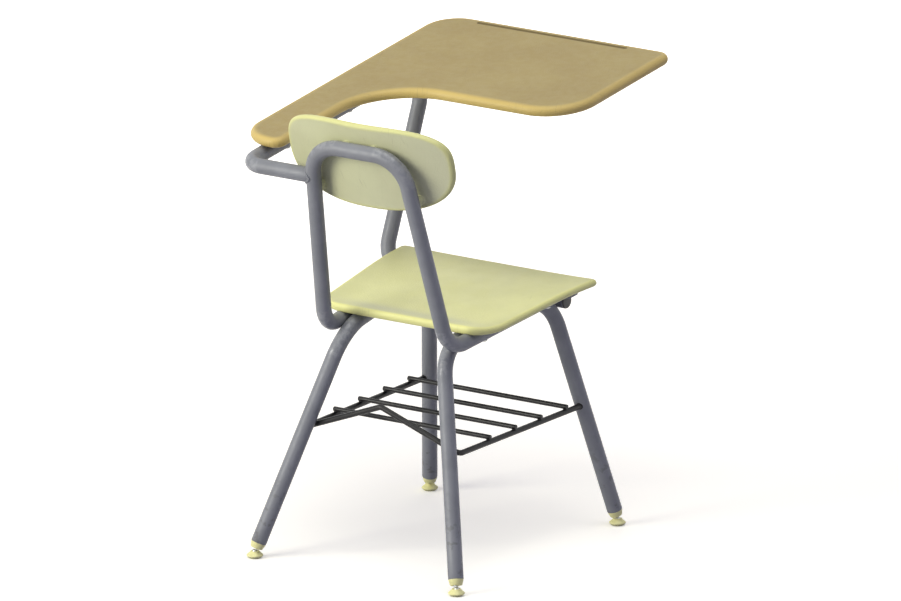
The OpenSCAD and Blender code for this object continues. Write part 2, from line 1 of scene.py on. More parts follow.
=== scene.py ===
"""Dresses a student desk chair: tube frame, rod book rack, moulded shells, writing tablet and swivel glides.

Sizes are in millimetres on the chair's own axes: X to the sitter's right, Y ahead, Z up, the floor at Z = 0.
to_row() moves points to the object's origin and turns them into metres.
"""

import logging
import math
from collections.abc import Sequence
from dataclasses import dataclass, field
from enum import Enum
from functools import cached_property
from typing import Any

import bmesh
import bpy
import numpy as np
import numpy.typing as npt
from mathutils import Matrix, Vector


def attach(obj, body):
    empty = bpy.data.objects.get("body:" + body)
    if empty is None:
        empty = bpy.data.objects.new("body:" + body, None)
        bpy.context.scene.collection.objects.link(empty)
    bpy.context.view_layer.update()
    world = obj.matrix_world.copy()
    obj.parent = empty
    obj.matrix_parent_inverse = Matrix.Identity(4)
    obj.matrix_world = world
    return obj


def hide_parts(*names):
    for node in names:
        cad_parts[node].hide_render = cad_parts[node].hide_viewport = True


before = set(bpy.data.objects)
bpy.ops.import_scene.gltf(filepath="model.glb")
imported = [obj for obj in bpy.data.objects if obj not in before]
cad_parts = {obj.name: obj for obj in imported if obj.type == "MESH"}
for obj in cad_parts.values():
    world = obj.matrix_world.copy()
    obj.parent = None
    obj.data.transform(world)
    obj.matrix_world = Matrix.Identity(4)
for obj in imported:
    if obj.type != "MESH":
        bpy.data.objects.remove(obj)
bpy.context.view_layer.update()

Array = npt.NDArray[np.float64]
Index = npt.NDArray[np.int64]
Point = tuple[float, float, float]
Socket = bpy.types.NodeSocket
LOG = logging.getLogger("desk_chair")
MM = 0.001
ORIGIN_SHIFT = np.array([31.0, -79.3051, 0.0])
# The body that every fixed piece rides on
FRAME_BODY = "frame"
# Edges that turn more than this, in degrees, stay crisp
SHARP_DEG = 38.0
# Points nearer than this, in metres, become one
MERGE_M = 1e-6


class Slot(str, Enum):
    """The record's material slots."""

    FRAME = "frame_paint"
    RACK = "rack_paint"
    SHELL = "shell_plastic"
    TABLET = "tablet_plastic"
    PLUG = "plug_plastic"
    GLIDE = "glide_plastic"
    STUD = "stud_steel"
    FASTENER = "fastener_steel"


class Corner(str, Enum):
    """The four corners that a glide stands at."""

    FRONT_LEFT = "front_left"
    FRONT_RIGHT = "front_right"
    REAR_LEFT = "rear_left"
    REAR_RIGHT = "rear_right"


def vec(*values: float) -> Array:
    """A vector as an array of floats."""
    return np.array(values, dtype=float)


def unit(v: Array) -> Array:
    """The vector, or each vector of an array, at length 1."""
    return v / np.linalg.norm(v, axis=-1, keepdims=True)


def flip(v: Array) -> Array:
    """The mirror image across the chair's middle plane."""
    return v * vec(-1, 1, 1)


def centred(v: Array) -> Array:
    """The point moved across to the chair's middle plane."""
    return v * vec(0, 1, 1)


def ramp(t: Array) -> Array:
    """A smooth step: 0 below 0, 1 above 1, and 3t^2 - 2t^3 between."""
    t = np.clip(t, 0.0, 1.0)
    return t * t * (3 - 2 * t)


def at_y(point: Array, direction: Array, y: float) -> Array:
    """The point of a line at a given Y."""
    return point + direction * (y - point[1]) / direction[1]


def at_z(point: Array, direction: Array, z: float) -> Array:
    """The point of a line at a given Z."""
    return point + direction * (z - point[2]) / direction[2]


def to_row(points: Array) -> Array:
    """Chair millimetres to metres about the object's origin."""
    return (points + ORIGIN_SHIFT) * MM


# The chair's axes, and how nearly a direction may run along the first
RIGHT, AHEAD, UP = np.eye(3)
NEARLY = 0.9


def side_of(direction: Array) -> Array:
    """A unit vector square to a direction."""
    away = RIGHT if abs(direction[0]) < NEARLY else AHEAD
    return unit(np.cross(away, direction))


@dataclass
class Surface:
    """Points in millimetres with polygons over them, and named marks from 0 to 1 for each point."""

    points: Array
    faces: list[Index]
    marks: dict[str, Array] = field(default_factory=dict)


def grid_faces(rows: int, cols: int, close_rows: bool = False) -> Index:
    """Quads over a grid whose columns run round and meet.

    Args:
        rows: Number of rings.
        cols: Number of points in a ring.
        close_rows: Whether the last ring joins the first.

    Returns:
        Four point numbers for each quad.
    """
    i = np.arange(rows if close_rows else rows - 1)[:, None]
    j = np.arange(cols)[None, :]
    after, beside = (i + 1) % rows * cols, (j + 1) % cols
    return np.stack([i * cols + j, i * cols + beside, after + beside, after + j], axis=-1).reshape(-1, 4)


def loft(rings: Array, marks: dict[str, Array] | None = None, closed: bool = False) -> Surface:
    """A skin over rings of points, with a fan to the middle of each end ring.

    Args:
        rings: Points as (ring, round, 3).
        marks: Values as (ring, round).
        closed: Whether the last ring joins the first, so that there are no ends.

    Returns:
        The closed surface.
    """
    n, m = rings.shape[:2]
    faces = [grid_faces(n, m, closed)]
    points = rings.reshape(-1, 3)
    flat = {name: value.reshape(-1) for name, value in (marks or {}).items()}
    if not closed:
        j = np.arange(m)
        beside = (j + 1) % m
        last = (n - 1) * m
        faces.append(np.stack([np.full(m, n * m), beside, j], axis=-1))
        faces.append(np.stack([np.full(m, n * m + 1), last + j, last + beside], axis=-1))
        points = np.concatenate([points, rings[[0, -1]].mean(axis=1)])
        flat = {k: np.concatenate([v, [v[:m].mean(), v[-m:].mean()]]) for k, v in flat.items()}
    return Surface(points, faces, flat)


def merged(parts: Sequence[Surface]) -> Surface:
    """Several surfaces as one, with a mark of 0 where a part has none.

    Args:
        parts: The surfaces.

    Returns:
        One surface of them all.
    """
    starts = np.cumsum([0] + [len(p.points) for p in parts])
    names = {name for p in parts for name in p.marks}
    return Surface(
        np.concatenate([p.points for p in parts]),
        [f + start for p, start in zip(parts, starts) for f in p.faces],
        {n: np.concatenate([p.marks.get(n, np.zeros(len(p.points))) for p in parts]) for n in names},
    )


def mirrored(part: Surface) -> Surface:
    """The surface on the chair's other side."""
    return Surface(flip(part.points), [f[:, ::-1] for f in part.faces], dict(part.marks))


def set_mark(mesh: bpy.types.Mesh, name: str, values: Array) -> None:
    """Stores a mark from 0 to 1 at each point of a mesh."""
    mesh.attributes.new(name, "FLOAT", "POINT").data.foreach_set("value", values.astype(np.float32))


def mesh_from(name: str, surface: Surface) -> bpy.types.Mesh:
    """Puts a surface into a mesh with faces outwards, smooth but for its sharp edges.

    Args:
        name: The mesh's name.
        surface: Points, faces and marks.

    Returns:
        The mesh, in metres about the object's origin.
    """
    mesh = bpy.data.meshes.new(name)
    loops = np.concatenate([f.ravel() for f in surface.faces])
    counts = np.concatenate([np.full(len(f), f.shape[1]) for f in surface.faces])
    mesh.vertices.add(len(surface.points))
    mesh.vertices.foreach_set("co", to_row(surface.points).ravel())
    mesh.loops.add(len(loops))
    mesh.loops.foreach_set("vertex_index", loops.astype(np.int32))
    mesh.polygons.add(len(counts))
    mesh.polygons.foreach_set("loop_start", (np.cumsum(counts) - counts).astype(np.int32))
    mesh.update(calc_edges=True)
    for mark, values in surface.marks.items():
        set_mark(mesh, mark, values)
    work = bmesh.new()
    work.from_mesh(mesh)
    bmesh.ops.remove_doubles(work, verts=work.verts, dist=MERGE_M)
    bmesh.ops.recalc_face_normals(work, faces=work.faces)
    work.to_mesh(mesh)
    work.free()
    mesh.polygons.foreach_set("use_smooth", np.ones(len(mesh.polygons), dtype=bool))
    mesh.set_sharp_from_angle(angle=math.radians(SHARP_DEG))
    return mesh


def carve(piece: bpy.types.Object, cutter: Surface) -> None:
    """Cuts a surface's inside out of a piece, with the modifier applied to its mesh.

    Args:
        piece: The object to cut.
        cutter: The closed surface to take away.
    """
    tool = bpy.data.objects.new("cutter", mesh_from("cutter", cutter))
    bpy.context.collection.objects.link(tool)
    cut = piece.modifiers.new("carve", "BOOLEAN")
    cut.operation, cut.solver, cut.object = "DIFFERENCE", "EXACT", tool
    bpy.context.view_layer.update()
    graph = bpy.context.evaluated_depsgraph_get()
    carved = bpy.data.meshes.new_from_object(piece.evaluated_get(graph))
    piece.modifiers.clear()
    plain, piece.data = piece.data, carved
    piece.data.set_sharp_from_angle(angle=math.radians(SHARP_DEG))
    bpy.data.meshes.remove(plain)
    bpy.data.objects.remove(tool)


def make_piece(
    name: str,
    surface: Surface,
    finish: bpy.types.Material,
    nodes: Sequence[str] = (),
    body: str = FRAME_BODY,
) -> bpy.types.Object:
    """Makes a finished piece that rides on a body and stands for CAD nodes.

    Args:
        name: The piece's name.
        surface: Its shape.
        finish: Its material.
        nodes: CAD nodes that it replaces.
        body: The body that it rides on.

    Returns:
        The object.
    """
    piece = bpy.data.objects.new(name, mesh_from(name, surface))
    bpy.context.collection.objects.link(piece)
    piece.data.materials.append(finish)
    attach(piece, body)
    if nodes:
        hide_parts(*nodes)
    return piece


def make_pieces(
    parts: dict[str, tuple[Surface, list[str]]], finish: bpy.types.Material
) -> list[bpy.types.Object]:
    """Makes fixed pieces of one finish.

    Args:
        parts: Each piece's shape and the CAD nodes that it replaces, by the piece's name.
        finish: Their material.

    Returns:
        The objects.
    """
    return [make_piece(name, shape, finish, nodes) for name, (shape, nodes) in parts.items()]


def dress(node: str, finish: bpy.types.Material) -> None:
    """Gives a CAD node a finish in each of its material slots.

    Args:
        node: The node's name.
        finish: Its material.
    """
    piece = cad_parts[node]
    if not piece.material_slots:
        piece.data.materials.append(finish)
    for place in piece.material_slots:
        place.material = finish


@dataclass
class CentreLine:
    """A bent line: its points, directions, a side vector that doesn't twist, and the outward way in bends."""

    points: Array
    tangents: Array
    sides: Array
    outward: Array


def turned(v: Array, axis: Array, angle: Array) -> Array:
    """A vector turned by each angle: v cos a + (axis x v) sin a + axis (axis . v)(1 - cos a)."""
    a = angle[:, None]
    return v * np.cos(a) + np.cross(axis, v) * np.sin(a) + axis * (axis @ v) * (1 - np.cos(a))


def bent(
    corners: Sequence[Array], bends: Sequence[float], run_step: float = 30.0, bend_step: float = 4.0
) -> CentreLine:
    """Straight runs between corner points, with an arc that touches both runs at each inner corner.

    Args:
        corners: The corner points.
        bends: The arc's radius at each inner corner.
        run_step: Longest step on a straight run.
        bend_step: Longest step in an arc, in degrees.

    Returns:
        The centre line from the first corner to the last.
    """
    p = np.array(corners)
    d = unit(np.diff(p, axis=0))
    turn = np.arccos(np.clip((d[:-1] * d[1:]).sum(axis=1), -1, 1))
    setback = np.concatenate([[0], np.array(bends) * np.tan(turn / 2), [0]])
    side = side_of(d[0])
    rows: list[tuple[Array, Array, Array, Array]] = []
    for i, way in enumerate(d):
        start, end = p[i] + way * setback[i], p[i + 1] - way * setback[i + 1]
        n = 2 + int(np.linalg.norm(end - start) / run_step)
        run = start + (end - start) * np.linspace(0, 1, n)[:, None]
        rows.append((run, np.tile(way, (n, 1)), np.tile(side, (n, 1)), np.zeros((n, 3))))
        if i < len(turn):
            inward = unit(d[i + 1] - way * (way @ d[i + 1]))
            axis = np.cross(way, inward)
            a = np.linspace(0, turn[i], 2 + int(math.degrees(turn[i]) / bend_step))[1:-1]
            arc = way * np.sin(a)[:, None] - inward * np.cos(a)[:, None]
            tangent = way * np.cos(a)[:, None] + inward * np.sin(a)[:, None]
            rows.append((end + bends[i] * (inward + arc), tangent, turned(side, axis, a), arc))
            side = turned(side, axis, turn[i : i + 1])[0]
    return CentreLine(*(np.concatenate(parts) for parts in zip(*rows)))


def ring_angles(count: int) -> Array:
    """Angles round a ring, without the last that meets the first."""
    return np.linspace(0, 2 * np.pi, count, endpoint=False)


# A broken edge has one ring between its two sides, at this share of its radius
EDGE_MID = 0.3
# How a bend's rub follows its outward side: from this level up, and this fast
RUB_FROM, RUB_GAIN = 0.2, 1.3


def tube(
    line: CentreLine, radius: float, bore: float, around: int = 48, deep: float = 3.0, edge: float = 0.5
) -> Surface:
    """A circle carried along a centre line: point = line + r (cos a . side + sin a . cross), with faced ends.

    Args:
        line: The centre line.
        radius: Outside radius.
        bore: Radius of the open end's inside.
        around: Points round the circle.
        deep: How far in an open end is drawn, 0 for a solid rod.
        edge: Radius of the broken edge at each end.

    Returns:
        The surface, marked "rub" on the outer side of each bend.
    """
    n = len(line.points)
    station = np.concatenate([[0] * 5, np.arange(1, n - 1), [n - 1] * 5])
    run_in = np.array([deep, 0, 0, EDGE_MID * edge, edge])
    along = np.concatenate([run_in, np.zeros(n - 2), -run_in[::-1]])
    size = np.array([bore, bore, radius - edge, radius - EDGE_MID * edge, radius])
    r = np.concatenate([size, np.full(n - 2, radius), size[::-1]])
    a = ring_angles(around)[None, :, None]
    side = line.sides[station][:, None, :]
    across = np.cross(line.tangents, line.sides)[station][:, None, :]
    spoke = side * np.cos(a) + across * np.sin(a)
    middle = line.points[station] + line.tangents[station] * along[:, None]
    facing = (spoke * line.outward[station][:, None, :]).sum(axis=-1)
    return loft(middle[:, None, :] + r[:, None, None] * spoke, {"rub": ramp(facing * RUB_GAIN - RUB_FROM)})


# Points round a bead, and the swell of its ripples
BEAD_AROUND, BEAD_SWELL = 12, 0.1
# An open end tapers over this many radii, to the root of this share
BEAD_TAPER, BEAD_TIP = 1.5, 0.02


def bead(curve: Array, radius: float, reference: Array, closed: bool, pitch: float = 2.6) -> Surface:
    """A weld bead: a small circle carried along a curve, swelling with each ripple by sin(2 pi s / pitch).

    Args:
        curve: Points along the weld.
        radius: The bead's radius.
        reference: A direction that the curve never runs along.
        closed: Whether the bead runs all the way round.
        pitch: Length of a ripple.

    Returns:
        The bead's surface.
    """
    if closed:
        tangent = unit(np.roll(curve, -1, axis=0) - np.roll(curve, 1, axis=0))
        step = np.linalg.norm(np.roll(curve, -1, axis=0) - curve, axis=1)
    else:
        tangent = unit(np.gradient(curve, axis=0))
        step = np.linalg.norm(np.diff(curve, axis=0, append=curve[-1:]), axis=1)
    s = np.cumsum(step) - step
    ripples = max(1, round(step.sum() / pitch))
    r = radius * (1 + BEAD_SWELL * np.sin(2 * np.pi * ripples * s / step.sum()))
    if not closed:
        end = np.minimum(s, step.sum() - s) / (BEAD_TAPER * radius)
        r = r * np.sqrt(np.clip(1 - (1 - np.clip(end, 0, 1)) ** 2, BEAD_TIP, 1))
    side = unit(np.cross(tangent, reference))
    across = np.cross(tangent, side)
    a = ring_angles(BEAD_AROUND)[None, :, None]
    spoke = side[:, None, :] * np.cos(a) + across[:, None, :] * np.sin(a)
    return loft(curve[:, None, :] + r[:, None, None] * spoke, closed=closed)


def end_seam(
    start: Array,
    way: Array,
    radius: float,
    post: Array,
    post_way: Array,
    post_radius: float,
    count: int = 120,
) -> Array:
    """Where a tube's end meets a post: each line along the tube, until it is the post's radius from its axis.

    Args:
        start: A point of the tube's axis inside the post.
        way: The tube's direction, away from the post.
        radius: The tube's radius.
        post: A point of the post's axis.
        post_way: The post's direction.
        post_radius: The post's radius.
        count: Points on the seam.

    Returns:
        The closed seam.
    """
    a = ring_angles(count)[:, None]
    one = side_of(way)
    spoke = radius * (one * np.cos(a) + np.cross(way, one) * np.sin(a))
    from_post = start - post + spoke
    flat = from_post - (from_post @ post_way)[:, None] * post_way
    step = way - (way @ post_way) * post_way
    half = flat @ step / (step @ step)
    inside = half**2 - ((flat**2).sum(axis=1) - post_radius**2) / (step @ step)
    t = np.sqrt(np.clip(inside, 0, None)) - half
    return start + spoke + t[:, None] * way


def touch_seam(
    one: Array,
    one_way: Array,
    one_radius: float,
    two: Array,
    two_way: Array,
    two_radius: float,
    grow: float,
    count: int = 96,
) -> tuple[Array, Array]:
    """The loop round the place where two bars cross and touch: where both meet when grown a little.

    Args:
        one: A point of the first bar's axis.
        one_way: The first bar's direction.
        one_radius: The first bar's radius.
        two: A point of the second bar's axis.
        two_way: The second bar's direction.
        two_radius: The second bar's radius.
        grow: How far out from the bars the seam runs.
        count: Points on the loop.

    Returns:
        The closed loop, and the direction from the first bar to the second.
    """
    normal = unit(np.cross(one_way, two_way))
    gap = float((two - one) @ normal)
    normal, gap = (normal, gap) if gap > 0 else (-normal, -gap)
    flat = two - one - gap * normal
    across = np.cross(normal, one_way)
    square = np.cross(two_way, normal)
    middle = one + one_way * (flat @ square) / (one_way @ square)
    r1, r2 = one_radius + grow, two_radius + grow
    most = math.acos(np.clip((gap - r2) / r1, -1, 1))
    turn = ring_angles(count)
    a = most * np.sin(turn)
    half = np.sqrt(np.clip(r2**2 - (gap - r1 * np.cos(a)) ** 2, 0, None)) * np.sign(np.cos(turn))
    x = (half - r1 * np.sin(a) * (across @ square)) / (one_way @ square)
    loop = middle + x[:, None] * one_way + r1 * (np.cos(a)[:, None] * normal + np.sin(a)[:, None] * across)
    return loop, normal


# The least radius of a turned ring, so that a ring on the axis keeps its facing
LEAST_R = 1e-3
# A step so long that a straight run isn't divided
WHOLE_RUN = 1e6


def lathe(profile: Array, origin: Array, axis: Array, around: int = 64) -> Surface:
    """A profile turned about an axis: point = origin + z . axis + r (cos a . x + sin a . y).

    Args:
        profile: Rows of radius and height.
        origin: The axis's foot.
        axis: The axis's direction.
        around: Points round the axis.

    Returns:
        The turned surface.
    """
    a = ring_angles(around)[None, :, None]
    x = side_of(axis)
    spoke = x * np.cos(a) + np.cross(axis, x) * np.sin(a)
    r, z = profile[:, 0, None, None], profile[:, 1, None, None]
    return loft(origin + z * axis + np.maximum(r, LEAST_R) * spoke)


def rounded_profile(corners: Sequence[tuple[float, float]], radii: Sequence[float], steps: int = 6) -> Array:
    """A profile through corner points, each inner corner an arc of its radius that touches both sides.

    Args:
        corners: Rows of radius and height.
        radii: Arc radius at each inner corner.
        steps: Steps in each arc.

    Returns:
        Rows of radius and height.
    """
    flat = [np.append(c, 0.0) for c in np.array(corners)]
    # A hair over, so that a right angle doesn't round up to one more step
    line = bent(flat, radii, run_step=WHOLE_RUN, bend_step=1e-3 + 90 / steps)
    return line.points[:, :2]


def rounded_outline(
    corners: Array, radii: Sequence[float], arc_points: int, step: float
) -> tuple[Array, Array]:
    """An outline round corner points, each corner an arc, in steps along the sides.

    Args:
        corners: Corner points, anticlockwise.
        radii: Radius of each corner.
        arc_points: Steps in each arc.
        step: Longest step on a side.

    Returns:
        The outline's points and their outward normals.
    """
    before = unit(np.roll(corners, 1, axis=0) - corners)
    after = unit(np.roll(corners, -1, axis=0) - corners)
    half = np.arccos((before * after).sum(axis=1)) / 2
    r = np.array(radii)
    centre = corners + unit(before + after) * (r / np.sin(half))[:, None]
    first = corners + before * (r / np.tan(half))[:, None]
    a0 = np.arctan2(*(first - centre).T[::-1])
    bulge = np.sign(after[:, 0] * before[:, 1] - after[:, 1] * before[:, 0])
    sweep = bulge * (np.pi - 2 * half)
    a = a0[:, None] + sweep[:, None] * np.linspace(0, 1, arc_points + 1)
    spoke = np.stack([np.cos(a), np.sin(a)], axis=-1)
    arcs = centre[:, None, :] + r[:, None, None] * spoke
    normals = spoke * bulge[:, None, None]
    points, facing = [], []
    for i, arc in enumerate(arcs):
        end, start = arc[-1], arcs[(i + 1) % len(arcs)][0]
        n = max(1, math.ceil(np.linalg.norm(start - end) / step))
        t = np.linspace(0, 1, n, endpoint=False)[1:, None]
        points += [arc, end + (start - end) * t]
        facing += [normals[i], np.tile(normals[i][-1], (n - 1, 1))]
    return np.concatenate(points), np.concatenate(facing)


@dataclass(frozen=True)
class Plane:
    """A working plane: its origin and its three directions."""

    origin: Array
    x: Array
    y: Array
    z: Array

    def place(self, local: Array) -> Array:
        """Points from the plane's own X, Y and Z to the chair's."""
        return self.origin + local @ np.stack([self.x, self.y, self.z])


@dataclass(frozen=True)
class Layout:
    """The chair's centre lines, from the sizes of its frame."""

    tube_d: float = 25.4
    tube_wall: float = 1.6
    weld_gap: float = 0.05
    rest_gap: float = 0.15
    rear_track: float = 394.0
    front_track: float = 369.0
    base_depth: float = 488.0
    ball_h: float = 10.0
    leg_rear: float = 132.0
    leg_front: float = 141.0
    rail_h: float = 394.0
    rail_spread: float = 262.0
    rail_flare: float = 4.2
    rail_back: float = 154.0
    rail_front: float = 168.0
    tilt: float = 6.6
    run_drop: float = 9.0
    loop_h: float = 334.0
    loop_w: float = 175.0
    recline: float = 14.5
    arm_x: float = 227.0
    arm_h: float = 277.0
    arm_run: float = 533.0
    cross_at: float = 166.0
    cross_end: float = 134.0
    post_bend: float = 49.0
    arm_rear_bend: float = 32.0
    seat_nest: float = 2.5
    bracket_back: float = 21.0

    @property
    def tube_r(self) -> float:
        """Outside radius of the tubes."""
        return self.tube_d / 2

    @property
    def bore(self) -> float:
        """Inside radius of the tubes."""
        return self.tube_r - self.tube_wall

    @cached_property
    def tilt_dir(self) -> Array:
        """Forward along the seat and the tablet."""
        return vec(0, math.cos(math.radians(self.tilt)), math.sin(math.radians(self.tilt)))

    @cached_property
    def tilt_up(self) -> Array:
        """Square to the seat and the tablet."""
        return vec(0, -self.tilt_dir[2], self.tilt_dir[1])

    @cached_property
    def rail_mid(self) -> Array:
        """The right rail's axis at mid depth."""
        return vec(self.rail_spread / 2, 0, self.rail_h)

    @cached_property
    def rail_dir(self) -> Array:
        """The right rail's direction."""
        return unit(vec(math.tan(math.radians(self.rail_flare)), 1, math.tan(math.radians(self.tilt))))

    @cached_property
    def rail_corner(self) -> Array:
        """Where the right rail turns up into its upright."""
        return at_y(self.rail_mid, self.rail_dir, -self.rail_back)

    @cached_property
    def rail_tip(self) -> Array:
        """The right rail's front end."""
        return at_y(self.rail_mid, self.rail_dir, self.rail_front)

    @cached_property
    def run_mid(self) -> Array:
        """The leg run's axis at mid depth: beside the rail, on its inner side and a little lower.

        Returns:
            The right run's point.
        """
        side = unit(np.cross(self.tilt_up, self.rail_dir))
        drop = math.radians(self.run_drop)
        beside = math.cos(drop) * side - math.sin(drop) * self.tilt_up
        return self.rail_mid + (self.tube_d + self.weld_gap) * beside

    @cached_property
    def rear_ball(self) -> Array:
        """The rear right glide's ball."""
        return vec(self.rear_track / 2, -self.base_depth / 2, self.ball_h)

    @cached_property
    def front_ball(self) -> Array:
        """The front right glide's ball."""
        return vec(self.front_track / 2, self.base_depth / 2, self.ball_h)

    @cached_property
    def rear_knee(self) -> Array:
        """Where the rear leg turns into the run."""
        return at_y(self.run_mid, self.rail_dir, -self.leg_rear)

    @cached_property
    def front_knee(self) -> Array:
        """Where the front leg turns into the run."""
        return at_y(self.run_mid, self.rail_dir, self.leg_front)

    @cached_property
    def rear_axis(self) -> Array:
        """The rear right leg's direction, upwards."""
        return unit(self.rear_knee - self.rear_ball)

    @cached_property
    def front_axis(self) -> Array:
        """The front right leg's direction, upwards."""
        return unit(self.front_knee - self.front_ball)

    @cached_property
    def back(self) -> Plane:
        """The plane of the uprights, leaning back by the recline, with Z to the rear.

        Returns:
            The plane, from the level of the rails' rear corners.
        """
        a = math.radians(self.recline)
        up, out = vec(0, -math.sin(a), math.cos(a)), vec(0, math.cos(a), math.sin(a))
        return Plane(centred(self.rail_corner), RIGHT, up, -out)

    @property
    def loop_s(self) -> float:
        """Distance up the uprights to the loop's top."""
        return self.loop_h / math.cos(math.radians(self.recline))

    @cached_property
    def loop_corner(self) -> Array:
        """The loop's right corner."""
        return self.back.place(vec(self.loop_w / 2, self.loop_s, 0))

    @cached_property
    def upright_dir(self) -> Array:
        """The right upright's direction, upwards."""
        return unit(self.loop_corner - self.rail_corner)

    @cached_property
    def arm_root(self) -> Array:
        """Where the rear bar leaves the left upright."""
        return flip(self.rail_corner + self.upright_dir * (self.arm_h / self.upright_dir[2]))

    @cached_property
    def arm_rear(self) -> Array:
        """The support tube's rear corner."""
        return centred(self.arm_root) - RIGHT * self.arm_x

    @cached_property
    def arm_front(self) -> Array:
        """The support tube's front corner."""
        return self.arm_rear + self.tilt_dir * (self.arm_run / self.tilt_dir[1])

    @cached_property
    def cross_tip(self) -> Array:
        """The cross tube's free end, under the right rail.

        Returns:
            The end's middle.
        """
        rail = at_y(self.rail_mid, self.rail_dir, self.cross_at)
        under = rail - self.tilt_up * (self.tube_d + self.weld_gap)
        return vec(self.cross_end, under[1], under[2])

    @cached_property
    def post_foot(self) -> Array:
        """The support tube's lower corner."""
        return centred(self.cross_tip) - RIGHT * self.arm_x

    @cached_property
    def tablet(self) -> Plane:
        """The plane of the tablet's underside."""
        origin = centred(self.arm_root) + self.tilt_up * (self.tube_r + self.rest_gap)
        return Plane(origin, RIGHT, self.tilt_dir, self.tilt_up)

    @cached_property
    def seat(self) -> Plane:
        """The plane of the seat's underside."""
        rise = self.tube_r + self.rest_gap - self.seat_nest
        return Plane(centred(self.rail_mid) + self.tilt_up * rise, RIGHT, self.tilt_dir, self.tilt_up)

    @property
    def bracket_at(self) -> float:
        """The wing bracket's middle, ahead of the rear bar: just behind the front bend.

        Returns:
            The distance along the tablet.
        """
        down = unit(self.post_foot - self.arm_front)
        turn = math.acos(float(self.tilt_dir @ down))
        straight = self.arm_run / self.tilt_dir[1] - self.post_bend * math.tan(turn / 2)
        return straight - self.bracket_back


def linear(code: str) -> tuple[float, float, float, float]:
    """An sRGB hex colour as linear RGB and alpha: ((c + 0.055) / 1.055)^2.4, or c / 12.92 when dark.

    Args:
        code: The colour, as # and six hex digits.

    Returns:
        Red, green, blue and alpha.
    """
    c = np.array([int(code[i : i + 2], 16) for i in (1, 3, 5)]) / 255
    c = np.where(c <= 0.04045, c / 12.92, ((c + 0.055) / 1.055) ** 2.4)
    return (*c.tolist(), 1.0)


def wire(tree: bpy.types.NodeTree, node: bpy.types.Node, inputs: dict[Any, Any]) -> None:
    """Sets a node's inputs, or links them.

    Args:
        tree: The node tree.
        node: The node.
        inputs: Values or output sockets for its inputs, by name or number.
    """
    for key, value in inputs.items():
        if isinstance(value, Socket):
            tree.links.new(value, node.inputs[key])
        else:
            node.inputs[key].default_value = value


def add(
    tree: bpy.types.NodeTree,
    kind: str,
    inputs: dict[Any, Any] | None = None,
    out: str | int = 0,
    **settings: Any,
) -> Socket:
    """Adds a node with its settings and links.

    Args:
        tree: The node tree.
        kind: The node's type.
        inputs: Values or output sockets for its inputs, by name or number.
        out: The output to give, by name or number.
        settings: Properties to set.

    Returns:
        One of the node's outputs.
    """
    node = tree.nodes.new(kind)
    for key, value in settings.items():
        setattr(node, key, value)
    wire(tree, node, inputs or {})
    return node.outputs[out]


# A Mix node's sockets for colours, and the setting of a Map Range that eases in and out
MIX_A, MIX_B, MIX_OUT = 6, 7, 2
SMOOTH = {"interpolation_type": "SMOOTHSTEP"}


@dataclass(frozen=True)
class Clouds:
    """Soft noise: a patch's size, octaves of finer noise, and the noise levels that count as 0 and as 1."""

    size_mm: float
    detail: float = 3.0
    low: float = 0.35
    high: float = 0.65


@dataclass(frozen=True)
class Scratches:
    """Thin marks: their noise, with their width as its size, their length, and the degrees they run at."""

    noise: Clouds
    length_mm: float
    turns: tuple[float, ...]


